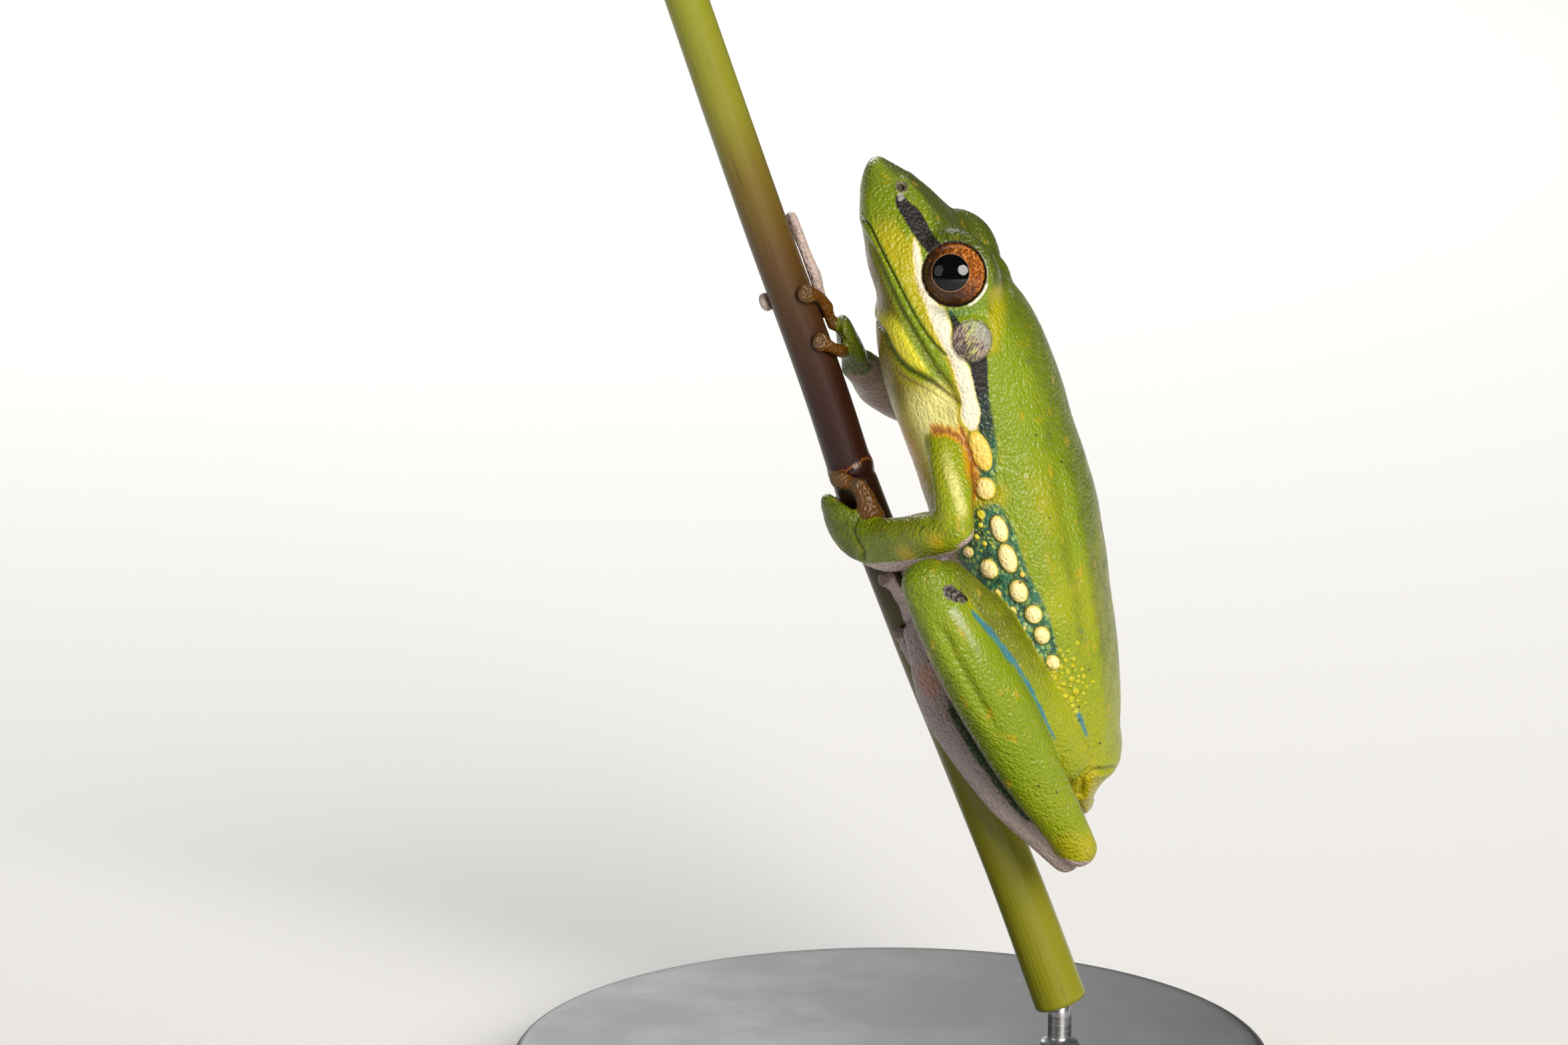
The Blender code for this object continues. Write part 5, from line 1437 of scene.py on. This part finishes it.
# %% The iris: copper threads over a darker ground
iris_finish, network, shader = new_finish("iris_copper")
ring = mask_of("ring")
grains = noise(place_of(), 8.0, 4.0, 0.75)
around = noise(mask_of("polar", "Vector"), 2.6, 3.0, 0.6)
lit = mask_of("glow") + (grains - 0.5) * 4.2
copper = (0.026, 0.010, 0.003)
for tint, mask in (
    ((0.30, 0.08, 0.010), step_of(lit, 0.0, 1.2)),
    ((0.85, 0.36, 0.08), step_of(lit, 0.95, 1.7, 0.0, 0.9)),
    ((0.022, 0.010, 0.004), step_of(around, 0.5, 0.68, 0.0, 0.5)),
    ((0.40, 0.24, 0.12), step_of(ring, 0.06, 0.015, 0.0, 0.7)),
    ((0.006, 0.004, 0.003), step_of(ring, 0.84, 0.95)),
    ((0.0, 0.0, 0.0), step_of(ring, 0.0, -0.01)),
):
    copper = lay_over(copper, tint, mask)
set_shader({
    "Base Color": copper,
    "Normal": bump_over(grains, 0.4, 0.00002),
    "Roughness": 0.5,
    "Specular IOR Level": 0.0,
})
print("the iris takes", len(network.nodes), "nodes")

# %% The cornea: clear, with a wet gloss
cornea_finish, network, shader = new_finish("cornea_clear")
network.nodes.remove(shader)
gloss = add_node("BsdfGlossy", {"Roughness": 0.05})
wet = add_node("MixShader", {0: 0.022, 1: add_node("BsdfTransparent", {}), 2: gloss})
set_input(network.nodes["Material Output"].inputs["Surface"], wet)
print("the cornea takes", len(network.nodes), "nodes")

# %% Both eyes in place
def make_piece(name, points, faces, material, values):
    """A smooth piece from points in the frog's frame, with its place and any masks written on it."""
    mesh = mesh_from(name, points, faces)
    for mask, numbers in values.items():
        write_mask(mesh, mask, numbers)
    stand_upright(mesh, points)
    mesh.materials.append(material)
    return object_from(name, mesh)


for side, word in ((1, "left"), (-1, "right")):
    centre, aim = EYE_AT * (1, 1, side), EYE_AIM * (1, 1, side)
    local, faces = lathe(globe_profile)
    radius = np.hypot(local[:, 0], local[:, 1])
    ring = np.where(local[:, 2] > 0.5, (radius - PUPIL_RADIUS) / (IRIS_RADIUS - PUPIL_RADIUS), 1.2)
    placed = on_axis(local, centre, aim)
    placed[:, :2] += np.outer(np.where(local[:, 2] > 0.5, 1 - np.clip(ring, 0, 1), 0), PUPIL_SHIFT)
    spoke = (placed - centre)[:, :2] / np.maximum(radius, 1e-6)[:, None]
    glow = ease(spoke @ (-0.25, 0.97), -0.5, 0.95)
    marks = {"ring": ring, "glow": glow, "polar": np.column_stack((spoke, ring))}
    globe = make_piece("eye_globe_" + word, placed, faces, iris_finish, marks)
    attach(globe, "root")
    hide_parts("eye_" + word)
    local, faces = lathe(cornea_profile)
    cornea = make_piece("cornea_" + word, on_axis(local, centre, aim), faces, cornea_finish, {})
    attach(cornea, "root")
print("two eyes with their corneas")

# %% [markdown]
# ## The reed
# The stem is a smooth round culm, waxy and finely ribbed along its length: green at the top, brown and then
# dark maroon beside the frog, and yellow green below its joint, where a thin brown sheath has torn. Just
# below the joint painted shade, the frog's shadow, keeps it dark and fades out further down. A bare cylinder
# would lack the swelling at the joint, the ribs and the soft cut ends.

# %% The reed's form
JOINT_AT = 12.0
REED_SIDES = 96
places = np.concatenate((np.linspace(REED_ENDS[0], JOINT_AT - 0.8, 220),
                         np.linspace(JOINT_AT - 0.78, JOINT_AT + 0.8, 60),
                         np.linspace(JOINT_AT + 0.85, REED_ENDS[1], 220)))
ends = np.minimum(places - REED_ENDS[0], REED_ENDS[1] - places)
bow = smooth_through(REED_PATH, places)
radius = smooth_through(REED_THICKNESS, places)
radius = radius + 0.05 * hill(places - JOINT_AT, 0.25) - 0.03 * hill(places - JOINT_AT - 0.45, 0.15)
radius = radius - 0.07 * hill(ends, 0.06)
turn = round_angles(REED_SIDES)
ribs = 1 + 0.006 * np.cos(turn * 32)
reed_rings = np.stack((places[:, None] + turn * 0, bow[:, None] + radius[:, None] * ribs * np.cos(turn),
                       radius[:, None] * ribs * np.sin(turn)), -1)
reed_points, reed_faces = closed_form(reed_rings)
cut = np.zeros(len(reed_points))
cut[:REED_SIDES] = 1.0
cut[-REED_SIDES - 2:] = 1.0
print("the reed is up to", round(float(radius.max() * 2), 2), "mm thick")

# %% The reed's finish
def ramp_of(value, stops):
    """Colours along a value, from stops of value and colour."""
    first, last = stops[0][0], stops[-1][0]
    made = add_node("ValToRGB", {0: step_of(value, first, last, kind="LINEAR")})
    ramp = made.socket.node.color_ramp
    while len(ramp.elements) < len(stops):
        ramp.elements.new(0.5)
    for element, (at, colour) in zip(ramp.elements, stops):
        element.position = (at - first) / (last - first)
        element.color = (*colour, 1.0)
    return made


OVER_JOINT = ((-9.8, (0.24, 0.25, 0.02)), (-4.0, (0.22, 0.21, 0.018)), (-0.9, (0.16, 0.11, 0.014)),
              (2.3, (0.10, 0.05, 0.012)), (5.3, (0.055, 0.022, 0.008)), (8.5, (0.032, 0.009, 0.005)),
              (11.9, (0.022, 0.005, 0.004)), (13.0, (0.022, 0.005, 0.004)))
# Below the joint the stem is painted dark as the frog's shadow on it, lightening to yellow green further
# down.
UNDER_JOINT_WITH_SHADE = ((12.0, (0.020, 0.005, 0.004)), (14.5, (0.024, 0.008, 0.004)), (18.0, (0.05, 0.040, 0.005)),
               (22.0, (0.11, 0.105, 0.008)), (30.0, (0.20, 0.19, 0.010)), (36.6, (0.26, 0.25, 0.014)))
reed_finish, network, shader = new_finish("reed_wax")
down_reed = add_node("SeparateXYZ", {0: place_of()}, "X")
streaks = noise(place_of((0.08, 1.6, 1.6)), 3.0, 5.0, 0.6)
rib_height = noise(place_of((0.05, 6.0, 6.0)), 2.0, 3.0, 0.6)
torn_gap = down_reed - noise(place_of((0.0, 1.0, 1.0)), 2.2, 4.0, 0.7) * 0.7 - 11.42
stem = ramp_of(down_reed + (streaks - 0.5) * 3.0, OVER_JOINT)
for tint, mask in (
    (ramp_of(down_reed, UNDER_JOINT_WITH_SHADE), step_of(down_reed, 11.9, 12.3)),
    ((0.03, 0.015, 0.004), step_of(streaks, 0.6, 0.8, 0.0, 0.45)),
    ((0.20, 0.065, 0.015), step_of(torn_gap * torn_gap, 0.005, 0.001, 0.0, 0.8)),
    ((0.50, 0.46, 0.24), step_of(mask_of("cut"), 0.5, 0.9)),
):
    stem = lay_over(stem, tint, mask)
set_shader({
    "Base Color": stem,
    "Normal": bump_over(rib_height, 0.35, 0.00004),
    "Roughness": step_of(streaks, 0.3, 0.7, 0.24, 0.34),
    "Specular IOR Level": 0.2,
    "Coat Weight": 0.25,
    "Coat Roughness": 0.12,
})
reed = make_piece("reed_stem", reed_points, reed_faces, reed_finish, {"cut": cut})
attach(reed, "root")
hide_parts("reed")
print("reed", round(REED_ENDS[1] - REED_ENDS[0], 1), "mm long")

# %% [markdown]
# ## The stand
# A plain display stand: a low round base with eased edges, and one short steel rod that enters the reed's
# cut end. A faceted disc would catch the light in flats, so both are turned on the lathe.

# %% Stand pieces
base_low, base_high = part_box("stand_base")
rod_low, rod_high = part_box("stand_rod")


def middle_of(low, high, level):
    return (low.x + high.x) / 2, (low.y + high.y) / 2, level


def turned_piece(name, profile, centre, material, turns):
    """A lathe form in metres that stands upright at centre."""
    points, faces = lathe(profile, turns)
    mesh = mesh_from(name, points + np.array(centre), faces)
    mesh.polygons.foreach_set("use_smooth", np.ones(len(mesh.polygons), bool))
    mesh.materials.append(material)
    return object_from(name, mesh)


# %% Base: satin black paint with a fine orange peel
paint, network, shader = new_finish("stand_satin_black")
upright_place = add_node("TexCoord", {}, "Object")
dust = noise(upright_place, 160.0, 5.0, 0.7)
set_shader({
    "Base Color": lay_over((0.018, 0.018, 0.019), (0.05, 0.05, 0.05), step_of(dust, 0.5, 0.75)),
    "Roughness": step_of(dust, 0.3, 0.7, 0.30, 0.42),
    "Normal": bump_over(noise(upright_place, 900.0, 3.0), 0.12, 0.00005),
})
r, t = (base_high.x - base_low.x) / 2, base_high.z - base_low.z
edge = 0.0006
base_profile = [(0.0001, 0.0), (r - 0.0008, 0.0), (r - 0.0006, 0.0003), (r - 0.0001, 0.0004), (r, 0.0006)]
base_profile += [(r - edge + across, t - edge + up) for across, up in arc(edge, 0, 90, 9)]
base_profile += [(r * k, t) for k in (0.94, 0.9, 0.6, 0.3)]
base_profile += [(0.0001, t)]
base = turned_piece("stand_base_turned", base_profile, middle_of(base_low, base_high, base_low.z), paint, 160)
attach(base, "root")
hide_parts("stand_base")
print("base", round(r * 2000, 1), "mm across")

# %% Rod: brushed steel with a small collar at its foot
steel, network, shader = new_finish("stand_brushed_steel")
brushing = noise(stretched(add_node("TexCoord", {}, "Object"), (1.0, 1.0, 14.0)), 900.0, 4.0, 0.7)
set_shader({
    "Base Color": lay_over((0.46, 0.46, 0.47), (0.66, 0.66, 0.67), brushing),
    "Roughness": step_of(brushing, 0.3, 0.7, 0.22, 0.38),
    "Normal": bump_over(brushing, 0.15, 0.00002),
    "Metallic": 1.0,
})
q, low, high = (rod_high.x - rod_low.x) / 2, t, rod_high.z
rod_profile = [(0.0001, low - 0.0004), (q * 1.7, low - 0.0004), (q * 1.7, low + 0.0002),
               (q * 1.5, low + 0.0004), (q * 1.05, low + 0.00045), (q, low + 0.0006), (q, high),
               (q * 0.8, high + 0.0009), (0.0001, high + 0.001)]
rod = turned_piece("stand_rod_turned", rod_profile, middle_of(rod_low, rod_high, 0.0), steel, 64)
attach(rod, "root")
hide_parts("stand_rod")
print("rod", round(q * 2000, 2), "mm thick, up to", round(high * 1000, 2), "mm")
